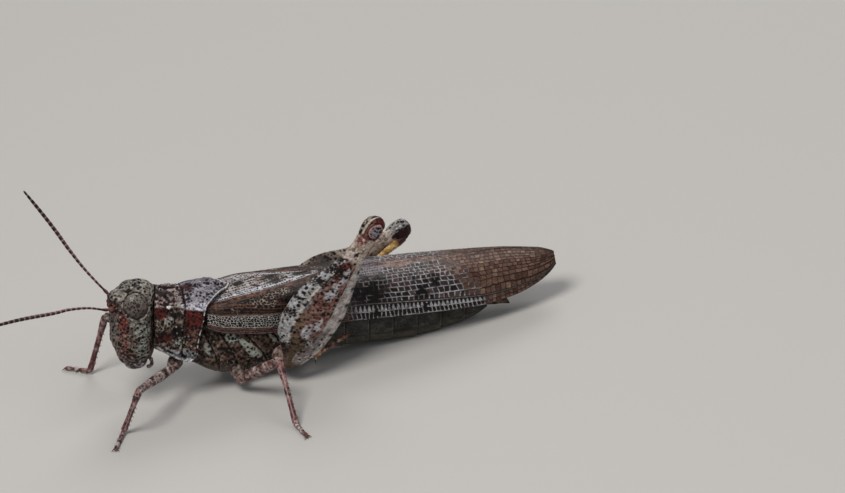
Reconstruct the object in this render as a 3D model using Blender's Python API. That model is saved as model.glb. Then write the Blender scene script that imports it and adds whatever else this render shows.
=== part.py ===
"""A band-winged grasshopper, adult female, life size, standing with its hind legs folded.

Body frame: x to the animal's left, y from the face towards the tail, z up, in millimetres.
The body is pitched nose-up over the floor, so that the feet of the fore and middle legs and
a flat under the belly rest at z = 0. The face looks along -Y.
"""
import bmesh
import bpy
import math
import numpy as np

for item in list(bpy.data.objects):
    bpy.data.objects.remove(item, do_unlink=True)

animal = bpy.data.collections.new("Grasshopper")
cutting = bpy.data.collections.new("Cutters")
for group in (animal, cutting):
    bpy.context.scene.collection.children.link(group)

MM = 0.001                # body frame unit in metres
FLOOR_SLOPE = 0.15        # rise of the floor per millimetre of body length, in the body frame
FLOOR_START = -0.78       # height of the floor under the face, in the body frame
BELLY_Y = 25.2            # where along the body the belly flat touches the floor
CUT = 0.05                # width of the cut between neighbouring nodes
SLIVER = 0.01             # features of a cut smaller than this are merged
SIDES = (("left", 1.0), ("right", -1.0))

# Main sizes
HEAD_TOP = 10.20
HEAD_BOTTOM = 4.0
EYE_CENTRE = (1.47, 2.08, 8.67)
EYE_RADII = (0.60, 0.96, 1.08)
EYE_LEAN = math.atan(0.28)   # how far the top of an eye leans inwards
DISC_APEX_Y = 9.88
PRONOTUM_WALL = 0.55
WING_TIP_Y = 36.2
WING_WALL = 0.50
ABDOMEN_START, ABDOMEN_END = 14.75, 30.6
ANTENNA_RADIUS = 0.26
COXA_GAP = 0.30           # how far a coxa stops short of the hip
TIBIA_BEND = (0.15, -0.15)   # arch of a hind tibia, up and inwards

PITCH = math.atan(FLOOR_SLOPE)
COS_P, SIN_P = math.cos(PITCH), math.sin(PITCH)
ORIGIN_Y = BELLY_Y * COS_P + (FLOOR_SLOPE * BELLY_Y + FLOOR_START) * SIN_P


def to_world(points):
    """Body frame millimetres to metres on the floor."""
    p = np.asarray(points, dtype=float).reshape(-1, 3)
    y = p[:, 1] * COS_P + p[:, 2] * SIN_P - ORIGIN_Y
    z = p[:, 2] * COS_P - p[:, 1] * SIN_P - FLOOR_START * COS_P
    return np.stack([p[:, 0], y, np.maximum(z, 0.0)], axis=1) * MM


def unit(v):
    v = np.asarray(v, dtype=float)
    return v / np.linalg.norm(v)


def table(keys, values):
    """A smooth curve through the given values (monotone between its knots)."""
    k, v = np.asarray(keys, float), np.asarray(values, float)
    slope = np.diff(v) / np.diff(k)
    tangent = np.zeros(len(k))
    for i in range(1, len(k) - 1):
        if slope[i - 1] * slope[i] > 0:
            tangent[i] = 2 * slope[i - 1] * slope[i] / (slope[i - 1] + slope[i])
    tangent[0], tangent[-1] = slope[0], slope[-1]

    def at(t):
        t = np.clip(t, k[0], k[-1])
        i = np.clip(np.searchsorted(k, t, side="right") - 1, 0, len(k) - 2)
        h = k[i + 1] - k[i]
        s = (t - k[i]) / h
        return ((1 + 2 * s) * (1 - s) ** 2 * v[i] + s * (1 - s) ** 2 * h * tangent[i]
                + s * s * (3 - 2 * s) * v[i + 1] + s * s * (s - 1) * h * tangent[i + 1])
    return at


MATERIALS = {}


def material(name, colour, rough):
    if name not in MATERIALS:
        mat = bpy.data.materials.new(name)
        mat.use_nodes = True
        shader = mat.node_tree.nodes["Principled BSDF"]
        shader.inputs["Base Color"].default_value = (*colour, 1.0)
        shader.inputs["Roughness"].default_value = rough
        mat.diffuse_color = (*colour, 1.0)
        MATERIALS[name] = mat
    return MATERIALS[name]


LOOKS = {
    "head_shell": ((0.33, 0.30, 0.24), 0.6),
    "eye_lens": ((0.30, 0.28, 0.23), 0.3),
    "antenna_shell": ((0.22, 0.08, 0.06), 0.5),
    "mouth_shell": ((0.24, 0.19, 0.20), 0.4),
    "pronotum_shell": ((0.42, 0.33, 0.31), 0.6),
    "thorax_shell": ((0.28, 0.24, 0.19), 0.6),
    "abdomen_shell": ((0.20, 0.20, 0.17), 0.5),
    "tegmen_membrane": ((0.36, 0.30, 0.26), 0.5),
    "hindwing_membrane": ((0.45, 0.42, 0.33), 0.4),
    "leg_shell": ((0.45, 0.26, 0.23), 0.5),
    "hind_femur_shell": ((0.48, 0.40, 0.36), 0.5),
    "hind_tibia_shell": ((0.55, 0.32, 0.20), 0.5),
}


def closed_mesh(name, rings, walled=False):
    """A mesh skinned over rings of equal length and closed at each end.

    A walled ring runs along the outside of a wall and back along its inside, so its ends are
    closed by a strip across the wall.
    """
    n = len(rings[0])
    verts = [tuple(p) for ring in rings for p in ring]
    faces = []
    for r in range(len(rings) - 1):
        for i in range(n):
            j = (i + 1) % n
            faces.append((r * n + i, r * n + j, (r + 1) * n + j, (r + 1) * n + i))
    last = (len(rings) - 1) * n
    if walled:
        for i in range(n // 2 - 1):
            strip = (i, i + 1, n - 2 - i, n - 1 - i)
            faces.append(strip[::-1])
            faces.append(tuple(last + k for k in strip))
    else:
        faces.append(tuple(range(n))[::-1])
        faces.append(tuple(last + i for i in range(n)))
    mesh = bpy.data.meshes.new(name)
    mesh.from_pydata(verts, [], faces)
    return mesh


def face_outwards(mesh):
    """Turn every face outwards, drop repeated points and shade the mesh smooth."""
    bm = bmesh.new()
    bm.from_mesh(mesh)
    bmesh.ops.remove_doubles(bm, verts=bm.verts, dist=0.000002)
    bmesh.ops.dissolve_degenerate(bm, dist=0.000002, edges=bm.edges)
    bmesh.ops.recalc_face_normals(bm, faces=bm.faces)
    if bm.calc_volume(signed=True) < 0:
        bmesh.ops.reverse_faces(bm, faces=bm.faces)
    bm.to_mesh(mesh)
    bm.free()
    mesh.shade_smooth()
    mesh.set_sharp_from_angle(angle=math.radians(50))


def drop_slivers(mesh):
    """Merge points closer than SLIVER and dissolve the thin faces that a cut leaves."""
    for size in (SLIVER * MM, 0.5 * SLIVER * MM, 0.2 * SLIVER * MM):
        bm = bmesh.new()
        bm.from_mesh(mesh)
        bmesh.ops.triangulate(bm, faces=bm.faces)
        bmesh.ops.remove_doubles(bm, verts=bm.verts, dist=3 * size)
        bmesh.ops.dissolve_degenerate(bm, dist=size, edges=bm.edges)
        bmesh.ops.triangulate(bm, faces=bm.faces)
        bmesh.ops.dissolve_limit(bm, angle_limit=math.radians(0.2), verts=bm.verts, edges=bm.edges)
        bmesh.ops.triangulate(bm, faces=[f for f in bm.faces if len(f.verts) > 4])
        closed = all(len(e.link_faces) == 2 for e in bm.edges)
        if closed:
            bm.to_mesh(mesh)
        bm.free()
        if closed:
            return


def add_object(name, mesh, look):
    """Put a mesh in the scene: a piece of the animal if it has a look, otherwise a cutter."""
    face_outwards(mesh)
    obj = bpy.data.objects.new(name, mesh)
    (animal if look else cutting).objects.link(obj)
    if look:
        mesh.materials.append(material(look, *LOOKS[look]))
    return obj


def solid(name, rings, look=None, walled=False):
    """An object lofted over rings given in the body frame."""
    return add_object(name, closed_mesh(name, [to_world(ring) for ring in rings], walled), look)


def ball(name, centre, radii, lean=0.0, look=None):
    """An ellipsoid with its axes along the body's, turned about the lengthwise one by lean."""
    bm = bmesh.new()
    bmesh.ops.create_uvsphere(bm, u_segments=14, v_segments=10, radius=1.0)
    points = np.array([v.co for v in bm.verts])
    turned = np.column_stack([points[:, 2], points[:, 0], points[:, 1]])
    offset = turned * np.asarray(radii)
    across = offset[:, 0] * math.cos(lean) - offset[:, 2] * math.sin(lean)
    high = offset[:, 0] * math.sin(lean) + offset[:, 2] * math.cos(lean)
    placed = to_world(np.asarray(centre) + np.column_stack([across, offset[:, 1], high]))
    for v, co in zip(bm.verts, placed):
        v.co = co
    mesh = bpy.data.meshes.new(name)
    bm.to_mesh(mesh)
    bm.free()
    return add_object(name, mesh, look)


def rod(name, points, radii, look=None, grow=0.0, flatten=1.0, sides=2):
    """A round rod along a path in the body frame, with its own radius at each point."""
    curve = bpy.data.curves.new(name, "CURVE")
    curve.dimensions = "3D"
    curve.bevel_depth = MM
    curve.bevel_resolution = sides
    curve.use_fill_caps = True
    points = [np.asarray(p, float) for p in points]
    if grow:
        points[0] = points[0] - unit(points[1] - points[0]) * grow
        points[-1] = points[-1] + unit(points[-1] - points[-2]) * grow
    spline = curve.splines.new("POLY")
    spline.points.add(len(points) - 1)
    for knot, co, radius in zip(spline.points, to_world(points), radii):
        knot.co = (*co, 1.0)
        knot.radius = radius + grow
    drawn = bpy.data.objects.new(name, curve)
    cutting.objects.link(drawn)
    graph = bpy.context.evaluated_depsgraph_get()
    mesh = bpy.data.meshes.new_from_object(drawn.evaluated_get(graph), depsgraph=graph)
    mesh.name = name
    bpy.data.objects.remove(drawn, do_unlink=True)
    for v in mesh.vertices:
        v.co.x *= flatten
        v.co.z = max(v.co.z, 0.0)
    return add_object(name, mesh, look)


def cut_away(obj, cutters):
    """Take the cutters out of the object, then remove the cutters."""
    for cutter in cutters:
        cutter.hide_render = True
        cutter.display_type = "WIRE"
        mod = obj.modifiers.new("cut", "BOOLEAN")
        mod.operation = "DIFFERENCE"
        mod.solver = "EXACT"
        mod.object = cutter
        graph = bpy.context.evaluated_depsgraph_get()
        graph.update()
        made = bpy.data.meshes.new_from_object(obj.evaluated_get(graph), depsgraph=graph)
        obj.modifiers.remove(mod)
        old = obj.data
        obj.data = made
        made.name = obj.name
        bpy.data.meshes.remove(old)
        bpy.data.objects.remove(cutter, do_unlink=True)
    drop_slivers(obj.data)
    face_outwards(obj.data)
    keep = [m for m in obj.data.materials if m]
    first = keep[0] if keep else None
    obj.data.materials.clear()
    if first:
        obj.data.materials.append(first)
    for poly in obj.data.polygons:
        poly.material_index = 0
    return obj


# --- rings ---------------------------------------------------------------------------

def oval(centre, up, side, top, bottom, half, count, power=2.0, shift=0.0):
    """One ring of an oval with unequal height above and below its centre."""
    ring = []
    for i in range(count):
        a = 2 * math.pi * (i + 0.5) / count
        c, s = math.cos(a), math.sin(a)
        c = math.copysign(abs(c) ** (2 / power), c)
        s = math.copysign(abs(s) ** (2 / power), s)
        ring.append(centre + up * (c * (top if c > 0 else bottom)) + side * (s * half + shift))
    return np.array(ring)


def limb_rings(start, end, side, profile, count=8, grow=0.0, bend=(0.0, 0.0)):
    """Rings of a leg segment.

    profile holds (share of length, half height above, half height below, half width, sideways
    shift); bend moves the middle along (up, side) in millimetres.
    """
    a, b = np.asarray(start, float), np.asarray(end, float)
    axis = unit(b - a)
    across = unit(np.asarray(side, float) - axis * np.dot(side, axis))
    up = np.cross(across, axis)
    if up[2] - 0.5 * up[1] < 0:
        up = -up
    rings = []
    length = np.linalg.norm(b - a)
    last = len(profile) - 1
    for i, (t, top, bottom, half, shift) in enumerate(profile):
        if i == 0:
            t -= grow / length
        if i == last:
            t += grow / length
        arch = math.sin(math.pi * min(max(t, 0), 1))
        centre = a + (b - a) * t + up * (bend[0] * arch) + across * (bend[1] * arch)
        rings.append(oval(centre, up, across, top + grow, bottom + grow, half + grow, count,
                          shift=shift))
    return rings


def rounded(profile_middle, length, radius_start, radius_end):
    """Add rounded ends to the middle part of a limb profile."""
    first, last = profile_middle[0], profile_middle[-1]
    ends_a = [(first[0] - radius_start * k / length,) + tuple(v * f for v in first[1:4])
              + (first[4],) for k, f in ((0.95, 0.35), (0.62, 0.78))]
    ends_b = [(last[0] + radius_end * k / length,) + tuple(v * f for v in last[1:4])
              + (last[4],) for k, f in ((0.62, 0.78), (0.95, 0.35))]
    return ends_a + list(profile_middle) + ends_b


# --- head ----------------------------------------------------------------------------

FACE_Y = table([4.0, 4.3, 4.7, 5.2, 6.5, 7.4, 8.2, 8.75, 9.15, 9.45, 9.9, 10.1, HEAD_TOP],
               [0.55, 0.4, 0.3, 0.22, 0.24, 0.22, 0.18, 0.16, 0.28, 0.66, 1.5, 1.95, 2.35])
NAPE_Y = table([4.0, 4.6, 5.5, 7.0, 8.3, 9.0, 9.5, 9.8, 10.1, HEAD_TOP],
               [3.36, 3.40, 3.40, 3.40, 3.42, 3.62, 3.66, 3.5, 3.0, 2.5])
HEAD_HALF = table([4.0, 4.6, 5.5, 6.5, 7.5, 8.4, 9.2, 9.7, 10.05, HEAD_TOP],
                  [1.68, 1.95, 2.08, 2.12, 2.07, 1.9, 1.55, 1.15, 0.8, 0.3])
VERTEX_TAPER = 0.34       # how much narrower the head is at the front of its top


def head_rings(count=20):
    rings = []
    for z in (4.0, 4.2, 4.7, 5.5, 6.4, 7.4, 8.3, 9.0, 9.5, 9.85, 10.05, 10.15, HEAD_TOP):
        front, back, half = FACE_Y(z), NAPE_Y(z), HEAD_HALF(z)
        mid = 0.5 * (front + back)
        centre = np.array([0.0, mid, z])
        ring = oval(centre, np.array([0, 1.0, 0]), np.array([1.0, 0, 0]),
                    back - mid, mid - front, half, count, power=2.5)
        taper = np.clip(z - 8.8, 0.0, 1.0) * np.clip((2.4 - ring[:, 1]) / 1.7, 0.0, 1.0)
        ring[:, 0] *= 1 - VERTEX_TAPER * taper
        rings.append(ring)
    return rings


def eye(name, side, grow=0.0, look=None):
    return ball(name, (side * EYE_CENTRE[0], EYE_CENTRE[1], EYE_CENTRE[2]),
                [r + grow for r in EYE_RADII], side * EYE_LEAN, look)


ANTENNA_PATHS = {
    "left": ((0.72, 0.60, 8.35), (0.85, -0.20, 8.37), (1.20, -1.65, 8.88), (1.60, -3.27, 9.13),
             (1.95, -4.50, 9.15), (2.70, -7.30, 9.31), (3.20, -9.35, 9.27), (3.40, -10.13, 9.24)),
    "right": ((-0.72, 0.60, 8.39), (-0.95, 0.26, 8.95), (-1.30, -0.45, 9.78), (-1.85, -1.43, 11.0),
              (-2.40, -2.41, 12.45), (-3.00, -3.30, 13.9), (-3.60, -4.26, 15.34), (-4.40, -5.50, 17.07)),
}
ANTENNA_SHAPE = (0.34, 0.28, 0.26, 0.26, 0.27, 0.28, 0.27, 0.25)     # radius at each point


def mandible_rings(side, grow=0.0):
    start, end = np.array([side * 1.15, 1.97, 4.3]), np.array([side * 0.98, 1.92, 2.96])
    profile = ((0.0, 0.95, 0.95, 0.42, 0.0), (0.35, 1.0, 1.0, 0.45, 0.0), (0.65, 0.9, 0.9, 0.42, 0.0),
               (0.88, 0.66, 0.66, 0.32, 0.0), (1.0, 0.4, 0.4, 0.2, 0.0))
    return limb_rings(start, end, (side, 0, 0), profile, count=12, grow=grow)


def labrum_rings():
    rings = []
    for z, front, back, half in ((3.93, 0.58, 1.05, 0.64), (3.72, 0.66, 1.2, 0.64), (3.45, 0.84, 1.32, 0.58),
                                 (3.22, 1.02, 1.4, 0.46), (3.08, 1.14, 1.42, 0.28)):
        mid = 0.5 * (front + back)
        rings.append(oval(np.array([0, mid, z]), np.array([0, 1.0, 0]), np.array([1.0, 0, 0]),
                          back - mid, mid - front, half, 16, power=3.0))
    return rings


# --- pronotum ------------------------------------------------------------------------

CARINA = 0.45             # share of the half arch taken by the flat back of the pronotum
FLATNESS = 2.8            # how flat the back stays towards its edges
CREST_Z = table([3.4, 3.95, 5.0, 5.8, 6.4, 7.0, 8.0, DISC_APEX_Y], [9.42, 9.38, 9.2, 9.1, 9.14, 9.22, 9.2, 8.85])
CARINA_X = table([3.4, 4.5, 5.5, 6.5, 7.5, 10.0], [1.72, 1.85, 2.0, 2.35, 2.7, 2.75])
CARINA_Z = table([3.4, 4.5, 5.5, 6.5, 7.5, 10.0], [8.45, 8.4, 8.33, 8.28, 8.22, 8.2])
LOBE_X = table([3.4, 5.0, 7.5], [2.2, 2.4, 2.7])
LOBE_Z = table([3.4, 4.24, 4.9, 5.75, 6.3, 7.5], [5.2, 4.57, 4.13, 3.76, 3.78, 4.6])
MARGIN_FRONT = table([0.0, 0.2, 0.45, 0.7, 1.0], [3.95, 3.8, 3.52, 3.42, 3.5])
MARGIN_REAR = table([0.0, 0.08, 0.2, 0.32, 0.45, 0.6, 0.75, 0.87, 0.94, 0.975, 1.0],
                    [DISC_APEX_Y, 9.62, 8.95, 8.25, 7.49, 7.3, 6.95, 6.77, 6.74, 6.45, 6.0])


def saddle_point(s, v, inset=0.0):
    """A point of the pronotum: s runs from the crest (0) to the lower edge of a lobe (1)."""
    a = abs(s)
    front, rear = MARGIN_FRONT(a), MARGIN_REAR(a)
    y = front + (rear - front) * v
    cx, cz, crest = CARINA_X(y) - inset, CARINA_Z(y) - inset, CREST_Z(y) - inset
    if a <= CARINA:
        f = a / CARINA
        x = cx * f
        z = cz + (crest - cz) * (1 - f ** FLATNESS)
    else:
        f = (a - CARINA) / (1 - CARINA)
        belly = (LOBE_X(y) - inset) - cx
        x = cx + belly * math.sin(math.pi * 0.5 * min(1, f * 1.7)) - 0.25 * max(0.0, f - 0.6)
        z = cz + (LOBE_Z(y) - cz) * f
    return math.copysign(x, s), y, z


def pronotum_rings(grow=0.0):
    outer_s = list(np.linspace(-1, 1, 19))
    rings = []
    count = 9
    for i in range(count):
        v = i / (count - 1)
        if grow:
            v = -0.02 + 1.04 * v
        outer = [saddle_point(s, v, -grow) for s in outer_s]
        inner = [saddle_point(s, v, PRONOTUM_WALL + grow) for s in outer_s[::-1]]
        rings.append(np.array(outer + inner))
    return rings


# --- thorax and abdomen --------------------------------------------------------------

THORAX_HALF = table([3.5, 4.2, 5.0, 6.4, 7.6, 9.0, 11.0, 13.0, 14.7],
                    [0.85, 1.1, 1.45, 1.75, 2.1, 2.5, 2.62, 2.5, 2.2])
THORAX_TOP = table([3.5, 4.2, 5.0, 7.6, 9.0, 11.0, 14.7], [7.6, 7.9, 7.95, 7.55, 7.6, 7.6, 7.5])
THORAX_LOW = table([3.5, 4.2, 5.0, 6.4, 7.6, 9.0, 11.0, 13.0, 14.7],
                   [5.3, 4.5, 3.7, 2.9, 2.2, 1.75, 1.75, 2.0, 2.45])


def thorax_rings(count=20):
    rings = []
    for y in (3.5, 4.2, 5.2, 6.3, 7.4, 8.6, 10.0, 11.4, 12.8, 13.9, 14.68):
        top, low, half = THORAX_TOP(y), THORAX_LOW(y), THORAX_HALF(y)
        mid = low + 0.42 * (top - low)
        rings.append(oval(np.array([0, y, mid]), np.array([0, 0, 1.0]), np.array([1.0, 0, 0]),
                          top - mid, mid - low, half, count, power=2.6))
    return rings


ABDOMEN_HALF = table([14.7, 17.0, 20.0, 23.0, 26.0, 28.0, 29.4, ABDOMEN_END],
                     [2.12, 2.2, 2.18, 2.08, 1.9, 1.66, 1.4, 0.85])
ABDOMEN_TOP = table([14.7, 17.0, 20.0, 23.0, 26.0, 28.0, 29.4, ABDOMEN_END],
                    [7.55, 7.6, 7.55, 7.4, 7.15, 6.85, 6.5, 5.85])
ABDOMEN_LOW = table([14.7, 17.0, 19.5, 22.0, 24.0, 26.5, 28.0, 29.4, ABDOMEN_END],
                    [2.5, 2.62, 2.72, 2.78, 2.76, 3.12, 3.46, 3.85, 4.55])
SEGMENTS = 8


def abdomen_rings(count=18):
    rings = []
    length = ABDOMEN_END - ABDOMEN_START
    step = length / SEGMENTS
    stations = [ABDOMEN_START]
    swell = [0.97]
    for i in range(SEGMENTS):
        a = ABDOMEN_START + i * step
        stations += [a + 0.12 * step, a + 0.93 * step]
        swell += [1.0, 1.015]
    stations.append(ABDOMEN_END)
    swell.append(0.9)
    for y, grow in zip(stations, swell):
        top, low, half = ABDOMEN_TOP(y), ABDOMEN_LOW(y), ABDOMEN_HALF(y)
        mid = 0.5 * (top + low)
        rings.append(oval(np.array([0, y, mid]), np.array([0, 0, 1.0]), np.array([1.0, 0, 0]),
                          (top - mid) * grow, (mid - low), half * grow, count, power=2.2))
    return rings


# --- wings ---------------------------------------------------------------------------

WING_OUT = table([7.6, 9.0, 12.0, 20.0, 25.0, 29.0, 33.0, 35.0, 35.8, WING_TIP_Y],
                 [2.62, 2.78, 2.85, 2.8, 2.6, 2.3, 1.75, 1.3, 1.05, 0.8])
WING_TOP = table([7.6, 8.6, 9.6, 11.0, 14.0, 24.0, 31.0, 35.0, WING_TIP_Y],
                 [8.35, 8.5, 8.7, 8.9, 8.97, 9.05, 9.0, 8.75, 8.45])
WING_LOW = table([7.6, 9.0, 12.8, 18.5, 29.5, 32.5, 34.5, 35.6, WING_TIP_Y],
                 [6.55, 6.05, 5.62, 5.8, 5.57, 5.95, 6.6, 7.25, 7.8])
WING_INNER = 0.03         # the wings meet over the back along this line


def tegmen_outline(y, inset):
    """Points of the section of a tegmen, from its lower edge to the middle of the back."""
    out, top, low = WING_OUT(y) - inset, WING_TOP(y) - inset, WING_LOW(y)
    drop = min(0.62, 0.4 * (top - low))
    shoulder = top - drop
    pts = [(out, low), (out + 0.02, low + 0.3 * (shoulder - low)),
           (out - 0.03, low + 0.65 * (shoulder - low)), (out - 0.16, shoulder)]
    pts += [(out - 0.42, shoulder + 0.55 * drop), (out * 0.66, top - 0.12), (out * 0.33, top - 0.03),
            (WING_INNER, top)]
    return [(max(x, WING_INNER), z) for x, z in pts]


def tegmen_rings(side, grow=0.0):
    stations = [7.62, 8.6, 9.6, 10.6, 12.0, 14.0, 17.0, 20.0, 23.0, 26.0, 29.0, 31.5, 33.5, 35.0,
                35.8, WING_TIP_Y]
    rings = []
    for i, y in enumerate(stations):
        outer = tegmen_outline(y, -grow)
        inner = tegmen_outline(y, WING_WALL + grow)
        if grow:
            y += -grow if i == 0 else grow if i == len(stations) - 1 else 0
            outer[0] = (outer[0][0], outer[0][1] - grow)
            inner[0] = (inner[0][0], inner[0][1] - grow)
        ring = [(side * x, y, z) for x, z in outer] + [(side * x, y, z) for x, z in inner[::-1]]
        rings.append(np.array(ring))
    return rings


def hindwing_rings(side):
    rings = []
    for y in (15.0, 17.0, 22.0, 27.0, 31.0, 33.5, 34.6):
        out = (WING_OUT(y) - WING_WALL - 0.5) * (0.8 if y > 34 else 1.0)
        low = 7.76
        top = WING_TOP(y) - WING_WALL - 0.22
        sag = 0.12
        rings.append(np.array([(side * x, y, z) for x, z in (
            (0.06, low), (0.5 * out, low), (out, low - sag), (out, top - 0.22), (0.5 * out, top - 0.04),
            (0.06, top))]))
    return rings


# --- legs ----------------------------------------------------------------------------

def over_floor(x, y, height):
    """A point at a height over the floor, in the body frame."""
    return x, y, FLOOR_START + FLOOR_SLOPE * y + height


# Joints of each leg: where the coxa starts in the body, hip, knee, ankle, claw.
LEG_JOINTS = {
    ("fore", "left"): ((1.25, 5.25, 3.55), (2.05, 4.62, 3.12), (6.0, 1.30, 3.50),
                       over_floor(4.75, 0.15, 0.3), over_floor(7.35, -1.02, 0.21)),
    ("fore", "right"): ((-1.25, 5.25, 3.55), (-2.05, 4.62, 3.12), (-6.1, 0.85, 4.45),
                        over_floor(-6.7, -0.5, 0.3), over_floor(-8.5, -2.2, 0.21)),
    ("middle", "left"): ((1.7, 9.9, 2.6), (2.75, 10.0, 1.78), (6.8, 12.48, 5.02),
                         over_floor(11.1, 12.85, 0.3), over_floor(13.3, 13.3, 0.21)),
    ("middle", "right"): ((-1.7, 9.9, 2.6), (-2.75, 10.0, 1.78), (-6.5, 12.9, 5.0),
                          over_floor(-9.9, 14.3, 0.3), over_floor(-12.0, 15.6, 0.21)),
}
HIND_JOINTS = {
    "left": dict(coxa=(2.15, 13.35, 3.55), hip=(3.18, 13.75, 3.2), base=(3.72, 13.98, 3.3),
                 knee=(4.95, 20.88, 14.9), ankle=(3.35, 15.9, 3.35), claw=(3.3, 18.8, 5.0)),
    "right": dict(coxa=(-2.15, 13.35, 3.55), hip=(-3.15, 13.77, 3.2), base=(-3.8, 14.1, 3.15),
                  knee=(-7.7, 25.45, 8.15), ankle=(-3.3, 15.5, 2.3), claw=(-3.4, 18.2, 2.8)),
}
# Outline of the hind femur: share of length, height above and below its axis, half width.
HIND_FEMUR = ((-0.035, 0.22, 0.25, 0.2, 0.0), (0.0, 0.7, 0.8, 0.42, 0.0), (0.05, 1.2, 1.1, 0.6, 0.0),
              (0.11, 1.95, 1.45, 0.76, 0.02), (0.18, 2.5, 1.62, 0.86, 0.04), (0.27, 2.8, 1.74, 0.86, 0.06),
              (0.37, 2.8, 1.76, 0.82, 0.07), (0.48, 2.5, 1.54, 0.74, 0.07), (0.58, 1.92, 1.24, 0.62, 0.06),
              (0.68, 1.36, 0.94, 0.52, 0.03), (0.78, 1.0, 0.68, 0.46, 0.0), (0.87, 0.84, 0.62, 0.44, 0.0),
              (0.93, 0.92, 0.74, 0.52, 0.0), (0.985, 1.02, 0.84, 0.56, 0.0), (1.03, 0.85, 0.62, 0.46, 0.0),
              (1.06, 0.42, 0.3, 0.26, 0.0))


def coxa_end(coxa, hip):
    """Where a coxa stops, short of the rounded end of its femur."""
    return np.asarray(hip, float) - unit(np.subtract(hip, coxa)) * COXA_GAP


def coxa_rings(coxa, hip, side, start, end, grow=0.0):
    """Rings of a coxa, a stub that narrows from the thorax to the hip."""
    shape = ((0.0, 0.5 * start), (0.1, 0.85 * start), (0.35, start), (0.7, 0.5 * (start + end)),
             (0.9, 0.85 * end), (1.0, 0.45 * end))
    profile = [(t, r, r, r, 0.0) for t, r in shape]
    return limb_rings(coxa, coxa_end(coxa, hip), (side, 0.0, 0.0), profile, 8, grow)


def slim_profile(length, start, middle, end):
    """A slender segment with rounded ends: radii at its start, middle and end."""
    body = [(start * 0.9 / length, start, start, start, 0.0), (0.35, middle, middle, middle, 0.0),
            (0.7, middle * 0.95, middle * 0.95, middle * 0.95, 0.0),
            (1 - end * 0.9 / length, end, end, end, 0.0)]
    return rounded(body, length, start, end)


def leg_segment(start, end, side, radii, grow=0.0, count=8, bend=(0.0, 0.0)):
    length = float(np.linalg.norm(np.subtract(end, start)))
    return limb_rings(start, end, (side, 0.0, 0.0), slim_profile(length, *radii), count, grow, bend)


def tarsus(name, ankle, claw, look=None, grow=0.0):
    a, b = np.asarray(ankle, float), np.asarray(claw, float)
    points = [a + (b - a) * t for t in (0.0, 0.08, 0.4, 0.75, 0.92, 1.0)]
    return rod(name, points, (0.12, 0.27, 0.27, 0.27, 0.26, 0.14), look, grow)


def knee_drop(side_name):
    """Where the hind tibia is hinged: low between the lobes at the tip of the femur."""
    j = HIND_JOINTS[side_name]
    base, knee = np.array(j["base"]), np.array(j["knee"])
    axis = unit(knee - base)
    side = 1.0 if side_name == "left" else -1.0
    across = unit(np.array([side, 0, 0]) - axis * axis[0] * side)
    up = np.cross(across, axis)
    if up[2] - 0.5 * up[1] < 0:
        up = -up
    return base + (knee - base) * 0.975 - up * 0.45 - across * 0.25


def hind_tibia_rings(side_name, grow=0.0):
    side = 1.0 if side_name == "left" else -1.0
    start, end = knee_drop(side_name), HIND_JOINTS[side_name]["ankle"]
    length = float(np.linalg.norm(np.subtract(end, start)))
    body = [(0.03, 0.42, 0.42, 0.36, 0.0), (0.12, 0.33, 0.33, 0.3, 0.0), (0.4, 0.29, 0.29, 0.28, 0.0),
            (0.75, 0.3, 0.3, 0.28, 0.0), (0.97, 0.34, 0.34, 0.32, 0.0)]
    return limb_rings(start, end, (side, 0.0, 0.0), rounded(body, length, 0.4, 0.3), 8, grow, TIBIA_BEND)


def hind_femur_rings(side_name, count=14):
    side = 1.0 if side_name == "left" else -1.0
    j = HIND_JOINTS[side_name]
    return limb_rings(j["base"], j["knee"], (side, 0.0, 0.0), HIND_FEMUR, count)


# --- build ---------------------------------------------------------------------------

def build_head():
    head = solid("head", head_rings(), "head_shell")
    cut_away(head, [eye("cut", s, CUT) for _, s in SIDES]
             + [rod("cut", ANTENNA_PATHS[n][:3], ANTENNA_SHAPE[:3], grow=CUT) for n, _ in SIDES]
             + [solid("cut", mandible_rings(s, CUT)) for _, s in SIDES])
    for name, side in SIDES:
        eye("eye_" + name, side, look="eye_lens")
        rod("antenna_" + name, ANTENNA_PATHS[name], ANTENNA_SHAPE, "antenna_shell")
        solid("mandible_" + name, mandible_rings(side), "mouth_shell")
        palp = [(side * 1.0, 3.2, 3.75), (side * 1.12, 3.26, 3.45), (side * 1.1, 3.12, 3.16),
                (side * 1.0, 2.85, 3.02)]
        rod("palp_" + name, palp, (0.16, 0.2, 0.2, 0.16), "mouth_shell")
    solid("labrum", labrum_rings(), "mouth_shell")


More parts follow.
